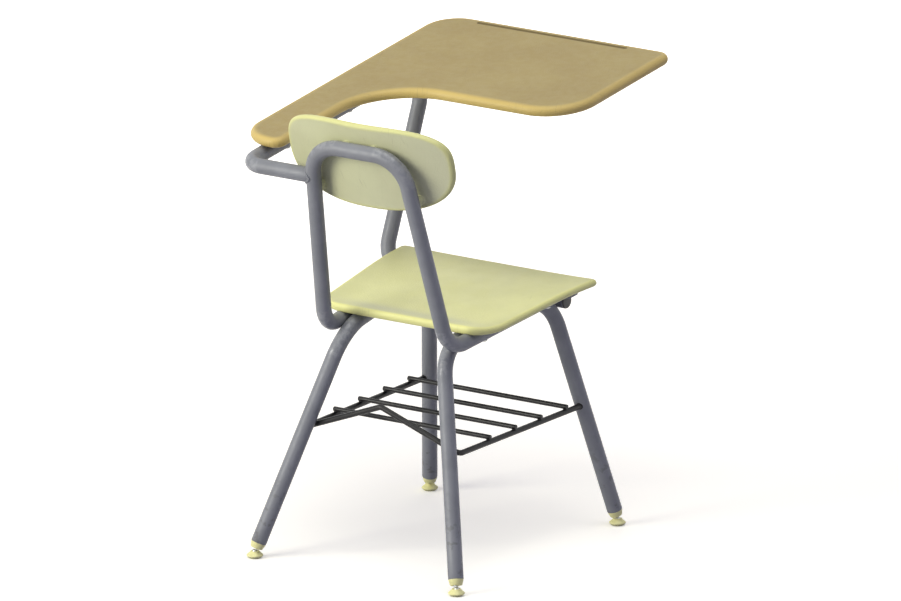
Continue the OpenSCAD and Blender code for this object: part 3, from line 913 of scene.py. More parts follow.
@dataclass
class Shading:
    """A new material: patterns on the piece's own coordinates, and coats, gloss and relief made of them."""

    name: str

    def __post_init__(self) -> None:
        """Makes the material and finds its tree, its shader and the piece's coordinates."""
        self.material = bpy.data.materials.new(self.name)
        self.material.use_nodes = True
        self.tree = self.material.node_tree
        self.shader = self.tree.nodes["Principled BSDF"]
        self.place = add(self.tree, "ShaderNodeTexCoord", out="Object")

    def clouds(self, kind: Clouds, place: Socket | None = None) -> Socket:
        """Soft patches from 0 to 1, with the noise's scale worked out from their size.

        Args:
            kind: The patches.
            place: Other coordinates than the piece's own.

        Returns:
            The patches' output.
        """
        scale = 1 / (kind.size_mm * MM)
        inputs = {"Vector": place or self.place, "Scale": scale, "Detail": kind.detail}
        noise = add(self.tree, "ShaderNodeTexNoise", inputs, "Fac")
        inputs = {"Value": noise, "From Min": kind.low, "From Max": kind.high}
        return add(self.tree, "ShaderNodeMapRange", inputs, **SMOOTH)

    def scratches(self, kind: Scratches) -> Socket:
        """Marks in several directions: clouds on coordinates turned about Z and shrunk along the marks.

        Args:
            kind: The marks.

        Returns:
            The marks' output.
        """
        long = kind.length_mm / kind.noise.size_mm
        marks: Any = 0.0
        for turn in kind.turns:
            inputs = {"Vector": self.place, "Rotation": (0, 0, math.radians(turn)), "Scale": (1, long, long)}
            along = add(self.tree, "ShaderNodeMapping", inputs, vector_type="TEXTURE")
            found = self.clouds(kind.noise, along)
            marks = add(self.tree, "ShaderNodeMath", {0: marks, 1: found}, operation="MAXIMUM")
        return marks

    def below(self, low_mm: float, high_mm: float) -> Socket:
        """1 below a height and 0 above another.

        Args:
            low_mm: The height that it is 1 below.
            high_mm: The height that it is 0 above.

        Returns:
            The pattern's output.
        """
        z = add(self.tree, "ShaderNodeSeparateXYZ", {0: self.place}, "Z")
        inputs = {"Value": z, "From Min": high_mm * MM, "From Max": low_mm * MM}
        return add(self.tree, "ShaderNodeMapRange", inputs, **SMOOTH)

    def where(self, *factors: Socket | str | float) -> Socket:
        """Where a coat lies: the product of patterns, of marks that the mesh carries, and of numbers.

        Args:
            factors: Patterns, names of marks and numbers, with a pattern or a mark first.

        Returns:
            The product's output.
        """
        product: Any = None
        for factor in factors:
            if isinstance(factor, str):
                factor = add(self.tree, "ShaderNodeAttribute", out="Fac", attribute_name=factor)
            if product is None:
                product = factor
            else:
                product = add(self.tree, "ShaderNodeMath", {0: product, 1: factor}, operation="MULTIPLY")
        return product

    def coats(self, base: str, *over: tuple[str, Socket]) -> Socket:
        """A colour with others over it, each as far as its pattern t says: under (1 - t) + over t.

        Args:
            base: The colour underneath.
            over: Each further colour and its pattern, from the lowest up.

        Returns:
            The colour's output.
        """
        colour: Any = linear(base)
        for code, share in over:
            inputs = {0: share, MIX_A: colour, MIX_B: linear(code)}
            colour = add(self.tree, "ShaderNodeMix", inputs, MIX_OUT, data_type="RGBA")
        return colour

    def gloss(self, base: float, *over: tuple[float, Socket]) -> Socket:
        """A roughness with others over it, each as far as its pattern t says: under (1 - t) + over t.

        Args:
            base: The roughness underneath.
            over: Each further roughness and its pattern, from the lowest up.

        Returns:
            The roughness's output.
        """
        level: Any = base
        for value, share in over:
            level = add(self.tree, "ShaderNodeMapRange", {"Value": share, "To Min": level, "To Max": value})
        return level

    def relief(self, *bumps: tuple[Socket, float]) -> Socket:
        """Bumps over each other.

        Args:
            bumps: Each pattern with its depth in millimetres, from the lowest up.

        Returns:
            The normal's output.
        """
        under: dict[str, Socket] = {}
        for height, depth_mm in bumps:
            inputs = {"Height": height, "Distance": depth_mm * MM, "Strength": 1.0, **under}
            under = {"Normal": add(self.tree, "ShaderNodeBump", inputs)}
        return under["Normal"]

    def feed(self, **inputs: Any) -> bpy.types.Material:
        """Sets or links the shader's inputs, with _ for a space in their names, and gives the material."""
        wire(self.tree, self.shader, {key.replace("_", " "): value for key, value in inputs.items()})
        return self.material


@dataclass(frozen=True)
class Finish:
    """What every finish has: a colour, a gloss with duller patches, and a skin in relief with its depth."""

    name: str
    colour: str
    roughness: float
    dull_roughness: float
    dull: Clouds
    skin: Clouds
    skin_mm: float
    metallic: float = 0.0
    ior: float = 1.5
    specular: float = 0.5

    def dressed(
        self,
        s: Shading,
        coats: Sequence[tuple[str, Socket]],
        worn: Sequence[tuple[float, Socket]] = (),
        marks: Sequence[tuple[Socket, float]] = (),
    ) -> bpy.types.Material:
        """Lays coats over the colour, worn places over the gloss and marks over the skin.

        Args:
            s: The material's shading.
            coats: Further colours and their patterns.
            worn: Further roughnesses and their patterns.
            marks: Further patterns in relief and their depths.

        Returns:
            The material.
        """
        return s.feed(
            Base_Color=s.coats(self.colour, *coats),
            Roughness=s.gloss(self.roughness, (self.dull_roughness, s.clouds(self.dull)), *worn),
            Normal=s.relief((s.clouds(self.skin), self.skin_mm), *marks),
            Metallic=self.metallic,
            IOR=self.ior,
            Specular_IOR_Level=self.specular,
        )


@dataclass(frozen=True)
class PowderCoat(Finish):
    """Powder-coated steel: a baked satin skin with orange peel, rubbed smooth and paler on outer bends."""

    name: str = "powder_coated_steel_grey"
    colour: str = "#838588"
    roughness: float = 0.42
    dull_roughness: float = 0.52
    dull: Clouds = Clouds(6.0)
    # Real peel is about 1 mm across; it is drawn at 4 mm so that it shows
    skin: Clouds = Clouds(4.0, 1.0, 0.2, 0.8)
    skin_mm: float = 0.055
    shade: str = "#7A7C7F"
    uneven: Clouds = Clouds(55.0)
    rubbed: str = "#97999A"
    rubs: Clouds = Clouds(9.0, 4.0, 0.38, 0.62)
    rub_share: float = 0.75
    rub_roughness: float = 0.27
    scuff: str = "#5F5E5E"
    kicks: Clouds = Clouds(14.0, 5.0, 0.56, 0.66)
    kick_share: float = 0.65
    kick_heights: tuple[float, float] = (60.0, 190.0)

    def material(self) -> bpy.types.Material:
        """The finish: uneven coat, rub marks on bends, shoe scuffs low on the legs, and peel as relief.

        Returns:
            The material.
        """
        s = Shading(self.name)
        rub = s.where("rub", s.clouds(self.rubs))
        coats = [
            (self.shade, s.clouds(self.uneven)),
            (self.rubbed, s.where(rub, self.rub_share)),
            (self.scuff, s.where(s.below(*self.kick_heights), s.clouds(self.kicks), self.kick_share)),
        ]
        return self.dressed(s, coats, [(self.rub_roughness, rub)])


@dataclass(frozen=True)
class Enamel(Finish):
    """Black stove enamel on round rod: dark and semi-gloss, worn dull and greyer where books slide."""

    name: str = "black_enamelled_rod"
    colour: str = "#141416"
    roughness: float = 0.30
    dull_roughness: float = 0.40
    dull: Clouds = Clouds(5.0)
    skin: Clouds = Clouds(2.0, 2.0)
    skin_mm: float = 0.02
    specular: float = 0.3
    dust: str = "#201F1F"
    dusty: Clouds = Clouds(30.0)
    worn: str = "#323131"
    wear: Clouds = Clouds(7.0, 5.0, 0.42, 0.60)
    wear_share: float = 0.8
    wear_roughness: float = 0.52

    def material(self) -> bpy.types.Material:
        """The finish: faint dust, and wear broken into patches along the top of the rods.

        Returns:
            The material.
        """
        s = Shading(self.name)
        wear = s.where("rub", s.clouds(self.wear))
        coats = [(self.dust, s.clouds(self.dusty)), (self.worn, s.where(wear, self.wear_share))]
        return self.dressed(s, coats, [(self.wear_roughness, wear)])


@dataclass(frozen=True)
class MouldedPlastic(Finish):
    """Compression-moulded hard plastic: faint flow clouds, pebble grain and scratches, with painted
    highlights on its edges and painted shade in places.
    """

    name: str
    colour: str
    roughness: float = 0.42
    dull_roughness: float = 0.50
    dull: Clouds = Clouds(12.0)
    # The mould's grain is about 0.5 mm; it is drawn at 2.5 mm so that it shows
    skin: Clouds = Clouds(2.5, 2.0, 0.25, 0.75)
    skin_mm: float = 0.2
    specular: float = 0.3
    cloud: str = field(kw_only=True)
    flow: Clouds = Clouds(70.0, 4.0, 0.3, 0.7)
    specks: Clouds = Clouds(1.8, 2.0, 0.62, 0.72)
    speck_share: float = 0.30
    # The band colour is painted shading: darker inside the seat's rear edge, paler on the backrest's right
    # side
    band: str = field(kw_only=True)
    painted_shading_share: float = 0.85
    # The rim colour is a painted highlight along the edges
    rim: str = field(kw_only=True)
    rim_highlight_share: float = 0.85
    scratch: str = field(kw_only=True)
    # Real scratches are hair-thin; they are drawn about 1 mm wide so that they show
    scratches: Scratches = Scratches(Clouds(1.1, 2.0, 0.65, 0.73), 38.0, (24.0, -58.0))
    scratched: Clouds = Clouds(60.0, 2.0, 0.40, 0.62)
    scratch_share: float = 0.45
    scratch_mm: float = -0.02
    # The groove colour is painted shade on the groove's wall, which also stands for pencil dirt
    groove: str = "#51462C"
    groove_shade_share: float = 0.8
    wear: Clouds = Clouds(40.0, 4.0, 0.3, 0.6)
    wear_roughness: float = 0.29

    def material(self) -> bpy.types.Material:
        """The finish: clouds, specks and scratches in the colour, painted shading, painted highlights on the
        edges and painted shade with pencil dirt in the groove, gloss from use, and the grain as relief.

        Returns:
            The material.
        """
        s = Shading(self.name)
        scratched = s.where(s.scratches(self.scratches), s.clouds(self.scratched))
        coats = [
            (self.cloud, s.clouds(self.flow)),
            # Painted shading where the mesh marks it
            (self.band, s.where("band", self.painted_shading_share)),
            (self.cloud, s.where(s.clouds(self.specks), self.speck_share)),
            # Painted highlight along the edges
            (self.rim, s.where("rim", self.rim_highlight_share)),
            (self.scratch, s.where(scratched, self.scratch_share)),
            # Painted shade in the pencil groove
            (self.groove, s.where("groove", self.groove_shade_share)),
        ]
        worn = (self.wear_roughness, s.where("use", s.clouds(self.wear)))
        return self.dressed(s, coats, [worn], [(scratched, self.scratch_mm)])


@dataclass(frozen=True)
class Nylon(Finish):
    """Moulded nylon: waxy, with soft clouds, and grey with grime where it meets the floor."""

    name: str = "moulded_nylon_cream"
    colour: str = "#F2EEA8"
    roughness: float = 0.36
    dull_roughness: float = 0.5
    dull: Clouds = Clouds(2.5)
    skin: Clouds = Clouds(1.6, 2.0)
    skin_mm: float = 0.015
    ior: float = 1.53
    cloud: str = "#E9E49E"
    flow: Clouds = Clouds(8.0)
    grime: str = "#8E8B70"
    dirt: Clouds = Clouds(3.0, 4.0, 0.35, 0.6)
    dirt_share: float = 0.8
    dirt_heights: tuple[float, float] = (0.5, 5.0)

    def material(self) -> bpy.types.Material:
        """The finish: soft clouds, grime from the floor up, uneven gloss and a trace of relief.

        Returns:
            The material.
        """
        s = Shading(self.name)
        dirt = s.where(s.below(*self.dirt_heights), s.clouds(self.dirt), self.dirt_share)
        return self.dressed(s, [(self.cloud, s.clouds(self.flow)), (self.grime, dirt)])


@dataclass(frozen=True)
class Zinc(Finish):
    """Bright zinc plate on steel: pale grey metal with a faint warm and cool bloom and uneven gloss."""

    name: str = "zinc_plated_steel"
    colour: str = "#C4C6C9"
    roughness: float = 0.26
    dull_roughness: float = 0.42
    dull: Clouds = Clouds(1.5, 4.0)
    skin: Clouds = Clouds(1.2)
    skin_mm: float = 0.01
    metallic: float = 1.0
    bloom: str = "#B5B3AA"
    blooms: Clouds = Clouds(4.0)

    def material(self) -> bpy.types.Material:
        """The finish: bloom in the colour, uneven gloss and a trace of relief."""
        s = Shading(self.name)
        return self.dressed(s, [(self.bloom, s.clouds(self.blooms))])


@dataclass(frozen=True)
class Polyethylene(Finish):
    """Black polyethylene: soft, dull, with greyed scuffs on its face."""

    name: str = "moulded_polyethylene_black"
    colour: str = "#242426"
    roughness: float = 0.44
    dull_roughness: float = 0.58
    dull: Clouds = Clouds(3.0, 5.0, 0.52, 0.66)
    skin: Clouds = Clouds(0.9, 2.0)
    skin_mm: float = 0.02
    scuff: str = "#454446"
    scuff_share: float = 0.6

    def material(self) -> bpy.types.Material:
        """The finish: scuffs where it is dull, and a fine spark-eroded grain."""
        s = Shading(self.name)
        return self.dressed(s, [(self.scuff, s.where(s.clouds(self.dull), self.scuff_share))])


# Each plastic's band colour is painted shading and its rim colour a painted highlight along the edges; the
# tablet's band colour is its own colour, so it paints nothing
CREAM = MouldedPlastic(
    "moulded_plastic_cream", "#E0E09F", cloud="#D9D999", rim="#EFED9A", scratch="#C3C28B", band="#C9CAA3"
)
CREAM_BACK = MouldedPlastic(
    "moulded_plastic_cream_back", "#CFD0A3", cloud="#C8C89C", rim="#DCDB8F", scratch="#B3B28A", band="#D5D5AF"
)
TAN = MouldedPlastic(
    "moulded_plastic_tan", "#A7955D", cloud="#A18E57", rim="#D8BE70", scratch="#8B7B4F", band="#A7955D"
)


@dataclass
class TubeFrame:
    """The welded tubes: back frame, two leg tubes, the tablet's support and the bracket under its wing."""

    layout: Layout
    rail_bend: float = 46.0
    loop_bend: float = 57.0
    leg_bend: float = 73.0
    ferrule_to: float = 16.5
    bead_r: float = 2.3
    cross_bead_r: float = 2.0
    cross_bead_out: float = 1.6
    stitch_len: float = 34.0
    stitches: tuple[float, ...] = (-78.0, 0.0, 78.0)
    stitch_points: int = 60

    def back_frame(self) -> Surface:
        """From one rail's tip, up, over the back and down to the other's.

        Returns:
            The tube.
        """
        k = self.layout
        half = [k.rail_tip, k.rail_corner, k.loop_corner]
        bends = [self.rail_bend, self.loop_bend]
        return tube(bent(half + [flip(p) for p in half[::-1]], bends + bends[::-1]), k.tube_r, k.bore)

    def right_leg(self) -> Surface:
        """An inverted U: rear leg, run under the seat and front leg.

        Returns:
            The tube.
        """
        k = self.layout
        rear = k.rear_ball + k.rear_axis * self.ferrule_to
        front = k.front_ball + k.front_axis * self.ferrule_to
        return tube(bent([rear, k.rear_knee, k.front_knee, front], [self.leg_bend] * 2), k.tube_r, k.bore)

    def support(self) -> Surface:
        """Rear bar, run under the tablet's arm, post and cross tube.

        Returns:
            The tube.
        """
        k = self.layout
        path = [k.arm_root, k.arm_rear, k.arm_front, k.post_foot, k.cross_tip]
        return tube(bent(path, [k.arm_rear_bend, k.post_bend, k.post_bend]), k.tube_r, k.bore)

    def stitch_beads(self) -> list[Surface]:
        """Short beads in the groove under each rail and run: at r + b from both axes.

        Returns:
            The beads of both sides.
        """
        k = self.layout
        apart = k.run_mid - k.rail_mid
        to_run = unit(apart - (apart @ k.rail_dir) * k.rail_dir)
        down = np.cross(to_run, k.rail_dir)
        down = down if down[2] < 0 else -down
        depth = math.sqrt((k.tube_r + self.bead_r) ** 2 - k.tube_r**2)
        groove = to_run * k.tube_r + down * depth
        stitch = np.linspace(-0.5, 0.5, self.stitch_points)[:, None] * self.stitch_len * k.rail_dir
        middles = [at_y(k.rail_mid, k.rail_dir, y) + groove for y in self.stitches]
        right = [bead(middle + stitch, self.bead_r, down, False) for middle in middles]
        return right + [mirrored(b) for b in right]

    def joint_beads(self) -> list[Surface]:
        """Beads round the rear bar's end and where the cross tube passes under the rails.

        Returns:
            The three beads.
        """
        k = self.layout
        bar = end_seam(k.arm_root, -RIGHT, k.tube_r, k.arm_root, flip(k.upright_dir), k.tube_r)
        beads = [bead(bar, self.bead_r, RIGHT, True)]
        for rail, way in ((k.rail_mid, k.rail_dir), (flip(k.rail_mid), flip(k.rail_dir))):
            loop, normal = touch_seam(rail, way, k.tube_r, k.cross_tip, RIGHT, k.tube_r, self.cross_bead_out)
            beads.append(bead(loop, self.cross_bead_r, normal, True))
        return beads

    def build(self) -> list[bpy.types.Object]:
        """Makes the tubes and their welds, and paints the bracket.

        Returns:
            The pieces.
        """
        paint = PowderCoat().material()
        right = self.right_leg()
        dress("tablet_wing_bracket", paint)
        parts = {
            "back_frame": (self.back_frame(), ["back_frame_tube"]),
            "right_leg": (right, ["right_leg_tube"]),
            "left_leg": (mirrored(right), ["left_leg_tube"]),
            "tablet_support": (self.support(), ["tablet_support_tube"]),
            "frame_welds": (merged(self.stitch_beads() + self.joint_beads()), []),
        }
        return make_pieces(parts, paint)


@dataclass
class BookRack:
    """Black rods under the seat: a rim from leg to leg with a raised stop at the rear, and rods across it."""

    layout: Layout
    height: float = 210.5
    rod_d: float = 8.0
    rim_d: float = 9.5
    rim_bend: float = 10.0
    # How far the rim's corner passes the leg sideways, and bites into it, as shares of its bend
    corner_side: float = 0.65
    corner_bite: float = 0.09
    stop_rise: float = 57.0
    stop_back: float = 7.0
    first: float = 139.0
    pitch: float = 73.0
    rods: int = 4
    # How far a rod passes the rim's axis, as a share of the rim's diameter
    rod_past: float = 0.42
    rod_step: float = 12.0
    front_x: float = 2.5
    around: int = 28
    # Radius of the ring that closes a bar's end, as a share of its diameter
    end_ring: float = 0.3
    bead_r: float = 1.1
    corner_bead_out: float = 0.9
    ripple: float = 2.0
    rod_bead_r: float = 0.8
    rod_bead_out: float = 0.5
    rod_ripple: float = 1.6
    # A rod's rub: from this level of its height up, over this share of its diameter, and fading to its ends
    rub_from: float = 0.2
    rub_over: float = 0.35
    rub_fade: float = 1.5

    @cached_property
    def corner(self) -> Array:
        """The rim's right rear corner, where it touches the front of the rear leg.

        Returns:
            The corner of its axis.
        """
        k = self.layout
        leg = at_z(k.rear_ball, k.rear_axis, self.height)
        side, bite = self.corner_side * self.rim_bend, self.corner_bite * self.rim_bend
        facing = unit(np.cross(vec(-leg[0] - side, -self.stop_back, self.stop_rise), k.rear_axis))
        ahead = (k.tube_r + self.rim_d / 2 - bite - side * facing[0]) / facing[1]
        return leg + vec(side, ahead, 0)

    @cached_property
    def apex(self) -> Array:
        """The stop's peak."""
        return vec(0, self.corner[1] - self.stop_back, self.height + self.stop_rise)

    @cached_property
    def front(self) -> Array:
        """The rim's end, in the right front leg."""
        k = self.layout
        return at_z(k.front_ball, k.front_axis, self.height) + RIGHT * self.front_x

    def bar(self, line: CentreLine, diameter: float) -> Surface:
        """A solid bar along a line."""
        return tube(line, diameter / 2, self.end_ring * diameter, self.around, 0.0)

    def rim(self) -> Surface:
        """From one front leg round the back, over the stop's peak, to the other."""
        path = [self.front, self.corner, self.apex, flip(self.corner), flip(self.front)]
        return self.bar(bent(path, [self.rim_bend] * 3), self.rim_d)

    def rod(self, number: int) -> Surface:
        """A straight rod across the rim, worn along its top.

        Args:
            number: The rod's number, from 0 at the front.

        Returns:
            The rod.
        """
        y = self.first - number * self.pitch
        z = self.height + (self.rim_d + self.rod_d) / 2 + self.layout.weld_gap
        half = at_y(self.corner, self.front - self.corner, y)[0] + self.rod_past * self.rim_d
        rod = self.bar(bent([vec(-half, y, z), vec(half, y, z)], [], self.rod_step), self.rod_d)
        top = ramp((rod.points[:, 2] - z) / (self.rub_over * self.rod_d) - self.rub_from)
        rod.marks["rub"] = top * ramp(self.rub_fade * (1 - np.abs(rod.points[:, 0]) / half))
        return rod

    def beads(self) -> list[Surface]:
        """Small welds: the rim's ends on the front legs, its corners on the rear legs, rods on the rim.

        Returns:
            The beads of both sides.
        """
        k = self.layout
        r, way = self.rim_d / 2, unit(self.corner - self.front)
        seam = end_seam(self.front, way, r, k.front_ball, k.front_axis, k.tube_r)
        found = [bead(seam, self.bead_r, way, True, self.ripple)]
        stop = unit(self.apex - self.corner)
        loop, normal = touch_seam(
            k.rear_ball, k.rear_axis, k.tube_r, self.corner, stop, r, self.corner_bead_out
        )
        found.append(bead(loop, self.bead_r, normal, True, self.ripple))
        for i in range(self.rods):
            point = vec(0, self.first - i * self.pitch, self.height + (self.rim_d + self.rod_d) / 2)
            loop, normal = touch_seam(self.corner, way, r, point, RIGHT, self.rod_d / 2, self.rod_bead_out)
            found.append(bead(loop, self.rod_bead_r, normal, True, self.rod_ripple))
        return found + [mirrored(b) for b in found]

    def build(self) -> list[bpy.types.Object]:
        """Makes the rim, the rods and their welds.

        Returns:
            The pieces.
        """
        parts = {"rack_rim": (self.rim(), ["rack_rim_rod"])}
        for i in range(self.rods):
            parts[f"rack_rod_{i + 1}"] = (self.rod(i), [f"rack_cross_rod_{i + 1}"])
        parts["rack_welds"] = (merged(self.beads()), [])
        return make_pieces(parts, Enamel().material())


def slab_rings(thickness: float, shares: Sequence[float], edge_steps: int) -> Array:
    """Rings of a slab with a full-round edge, from the middle of its top to the middle of its underside.

    The edge is half a circle: inset t/2 (1 - cos a) and height t/2 (1 + sin a), for a from 90 to -90 degrees.

    Args:
        thickness: The slab's thickness.
        shares: Shares of the outline for the rings on its faces.
        edge_steps: Steps round the edge.

    Returns:
        Rows of share, inset and height.
    """
    half, face = thickness / 2, np.array(shares)
    a = np.radians(np.linspace(90, -90, edge_steps + 1))
    edge = np.stack([np.ones_like(a), half * (1 - np.cos(a)), half * (1 + np.sin(a))], axis=-1)
    top = np.stack([face, np.full_like(face, half), np.full_like(face, thickness)], axis=-1)
    return np.concatenate([top, edge, top[::-1] * vec(1, 1, 0)])


def rim_highlight(from_edge: Array, fade: float, level: float) -> Array:
    """How far a face shows the painted highlight on its rim: 1 at the edge, and none from level times fade
    in.
    """
    return ramp(level - from_edge / fade)


@dataclass
class SeatShell:
    """The moulded seat: dished between its sides, raised at the rear edge and falling at the front."""

    layout: Layout
    thickness: float = 12.0
    depth: float = 288.0
    width: float = 361.0
    flare: float = 12.0
    rear: float = 107.0
    front_r: float = 12.0
    rear_r: float = 45.0
    cup: float = 2.0
    drop: float = 6.0
    drop_from: float = 60.0
    lip: float = 3.0
    lip_from: float = 42.0
    rings: tuple[float, ...] = (*np.linspace(0.04, 0.94, 20), 0.97, 0.99)
    edge_steps: int = 14
    arc_points: int = 22
    side_step: float = 8.0
    # The painted highlight on the edge: how slowly it fades inwards, and its level at the edge
    rim_fade: float = 7.0
    rim_level: float = 1.35
    # The painted shade inside the rear edge: its middle, its width, and how it fades to the sides
    painted_shading_at: float = 20.0
    painted_shading_width: float = 14.0
    painted_shading_fade: float = 1.6
    # The sat-on patch: half its width and depth, and its middle
    use_x: float = 120.0
    use_y: float = 105.0
    use_at: float = 40.0
    # The share of the thickness above which a mark counts as on the top
    top_from: float = 0.8

    def surface(self) -> Surface:
        """Scaled outlines as rings, with the underside at cup (x^4 - rail^4) / half^4 - drop t^2.

        Over it a point stands at its height (1 + lip / thickness), where lip grows as a square to the rear.

        Returns:
            The shell.
        """
        k = self.layout
        half_w, half_d = self.width / 2, self.depth / 2
        mid, front = half_d - self.rear, self.depth - self.rear
        corners = np.array([[-half_w, -self.rear], [half_w, -self.rear], [half_w, front], [-half_w, front]])
        radii = [self.rear_r, self.rear_r, self.front_r, self.front_r]
        outline, facing = rounded_outline(corners, radii, self.arc_points, self.side_step)
        share, inset, height = slab_rings(self.thickness, self.rings, self.edge_steps).T[..., None]
        centre = vec(0, mid)
        flat = share[..., None] * (outline - inset[..., None] * facing - centre) + centre
        y = flat[..., 1]
        wide = half_w + self.flare * (y - mid) / half_d
        x = flat[..., 0] * wide / half_w
        flare = math.cos(math.radians(k.tilt)) * math.tan(math.radians(k.rail_flare))
        rail = k.rail_spread / 2 + y * flare
        under = self.cup * (x**4 - rail**4) / wide**4
        under = under - self.drop * np.clip((y - self.drop_from) / (front - self.drop_from), 0, 1) ** 2
        lip = self.lip * np.clip((self.lip_from - self.rear - y) / self.lip_from, 0, 1) ** 2
        local = np.stack([x, y, under + height * (1 + lip / self.thickness)], axis=-1)
        # Painted shade: a darker band inside the rear edge, where the surface dips
        band = np.exp(-(((y + self.rear - self.painted_shading_at) / self.painted_shading_width) ** 2))
        band = band * ramp(self.painted_shading_fade * (1 - np.abs(x) / wide))
        use = np.exp(-((x / self.use_x) ** 4) - (((y - self.use_at) / self.use_y) ** 4))
        # Distance in from the edge, so that the rim's painted highlight fades over the first millimetres of
        # the faces
        from_edge = (1 - share) * half_d + inset
        rim = rim_highlight(from_edge, self.rim_fade, self.rim_level) * np.ones_like(x)
        top = height > self.top_from * self.thickness
        return loft(k.seat.place(local), {"rim": rim, "band": band * top, "use": use * top})

    def build(self) -> list[bpy.types.Object]:
        """Makes the seat."""
        return make_pieces({"seat": (self.surface(), ["seat_shell"])}, CREAM.material())


@dataclass
class BackrestShell:
    """The moulded backrest: a rounded oval curved round the sitter's back, on four bosses at the loop."""

    layout: Layout
    thickness: float = 12.0
    width: float = 320.0
    up: float = 66.0
    down: float = 86.0
    line: float = 320.0
    curve: float = 560.0
    square_up: float = 3.2
    square_down: float = 2.5
    boss_d: float = 18.0
    boss_low: float = 262.0
    boss_high_x: float = 27.0
    # The boss's foot spreads by this much, this far into the face, with these rounds at its ends
    boss_spread: float = 2.5
    boss_in: float = 2.0
    boss_rounds: tuple[float, float] = (0.5, 2.0)
    rivet_sink: float = 2.0
    rivet_flange: float = 11.52
    rivet_room: float = 1.0
    # The tool that cuts a recess widens by this much and reaches this far out of its floor
    sink_spread: float = 5.0
    sink_reach: float = 7.0
    sink_around: int = 48
    around: int = 240
    rings: tuple[float, ...] = (*np.linspace(0.05, 0.92, 16), 0.96, 0.985)
    edge_steps: int = 14
    # The painted highlight on the edge: how slowly it fades inwards, and its level at the edge
    rim_fade: float = 7.0
    rim_level: float = 1.35
    # The rear face's painted light, paler towards the sitter's right: its level in the middle; and half the
    # width that a back wears in front
    painted_shading_level: float = 0.25
    use_x: float = 110.0

    def face(self, x: Array | float) -> Array | float:
        """The rear face's place along the Z of the uprights' plane: -touch - x^2 / 2R."""
        return -self.layout.tube_r - self.layout.rest_gap - x * x / (2 * self.curve)

    def sink_floor(self, x: float) -> float:
        """Where the rivet's head bears, along the same Z."""
        return float(self.face(x)) - self.thickness + self.rivet_sink

    def fixings(self) -> Array:
        """The bosses in the plane of the uprights.

        Returns:
            Rows of the place across and up.
        """
        k = self.layout
        low = k.rail_corner[0] + (k.loop_corner[0] - k.rail_corner[0]) * self.boss_low / k.loop_s
        right = np.array([[low, self.boss_low], [self.boss_high_x, k.loop_s]])
        return np.concatenate([right, right * vec(-1, 1)])

    def surface(self) -> Surface:
        """Scaled superellipses as rings, |cos a / w|^n + |sin a / h|^n = r^-n, bent over the back's curve.

        Returns:
            The shell.
        """
        a = ring_angles(self.around)
        c, s = np.cos(a), np.sin(a)
        tall = np.where(s > 0, self.up, self.down)
        n = np.where(s > 0, self.square_up, self.square_down)
        radius = ((np.abs(c) / (self.width / 2)) ** n + (np.abs(s) / tall) ** n) ** (-1 / n)
        share, inset, height = slab_rings(self.thickness, self.rings, self.edge_steps).T[..., None]
        r = share * (radius - inset)
        x = r * c
        local = np.stack([x, self.line + r * s, self.face(x) - self.thickness + height], axis=-1)
        rear = height > 0.5 * self.thickness
        marks = {
            # Painted highlight round the edges
            "rim": rim_highlight((1 - share) * radius + inset, self.rim_fade, self.rim_level),
            # Painted light: the rear face grows paler towards the sitter's right
            "band": ramp(self.painted_shading_level + x / self.width) * rear,
            "use": np.exp(-((x / self.use_x) ** 4)) * ~rear,
        }
        return loft(self.layout.back.place(local), marks)

    def bosses(self) -> list[Surface]:
        """Short pillars from the rear face to the tube.

        Returns:
            The four pillars.
        """
        k, r, made = self.layout, self.boss_d / 2, []
        tip = -k.tube_r / 2
        for x, s in self.fixings():
            z = float(self.face(x))
            corners = [(0, tip), (r, tip), (r, z), (r + self.boss_spread, z - self.boss_in)]
            pillar = rounded_profile(corners, self.boss_rounds)
            made.append(lathe(pillar, k.back.place(vec(x, s, 0)), k.back.z))
        return made

    def sinks(self) -> list[Surface]:
        """Round recesses for the rivets' heads in the front face.

        Returns:
            The four tools that cut them.
        """
        k, made = self.layout, []
        r = (self.rivet_flange + self.rivet_room) / 2
        for x, s in self.fixings():
            floor = self.sink_floor(x)
            cone = np.array([[r + self.sink_spread, floor - self.sink_reach], [r, floor]])
            made.append(lathe(cone, k.back.place(vec(x, s, 0)), k.back.z, self.sink_around))
        return made

    def build(self) -> list[bpy.types.Object]:
        """Makes the backrest with its bosses and its rivet recesses.

        Returns:
            The pieces.
        """
        parts = {
            "backrest": (self.surface(), ["backrest_shell"]),
            "backrest_bosses": (merged(self.bosses()), []),
        }
        made = make_pieces(parts, CREAM_BACK.material())
        carve(made[0], merged(self.sinks()))
        return made


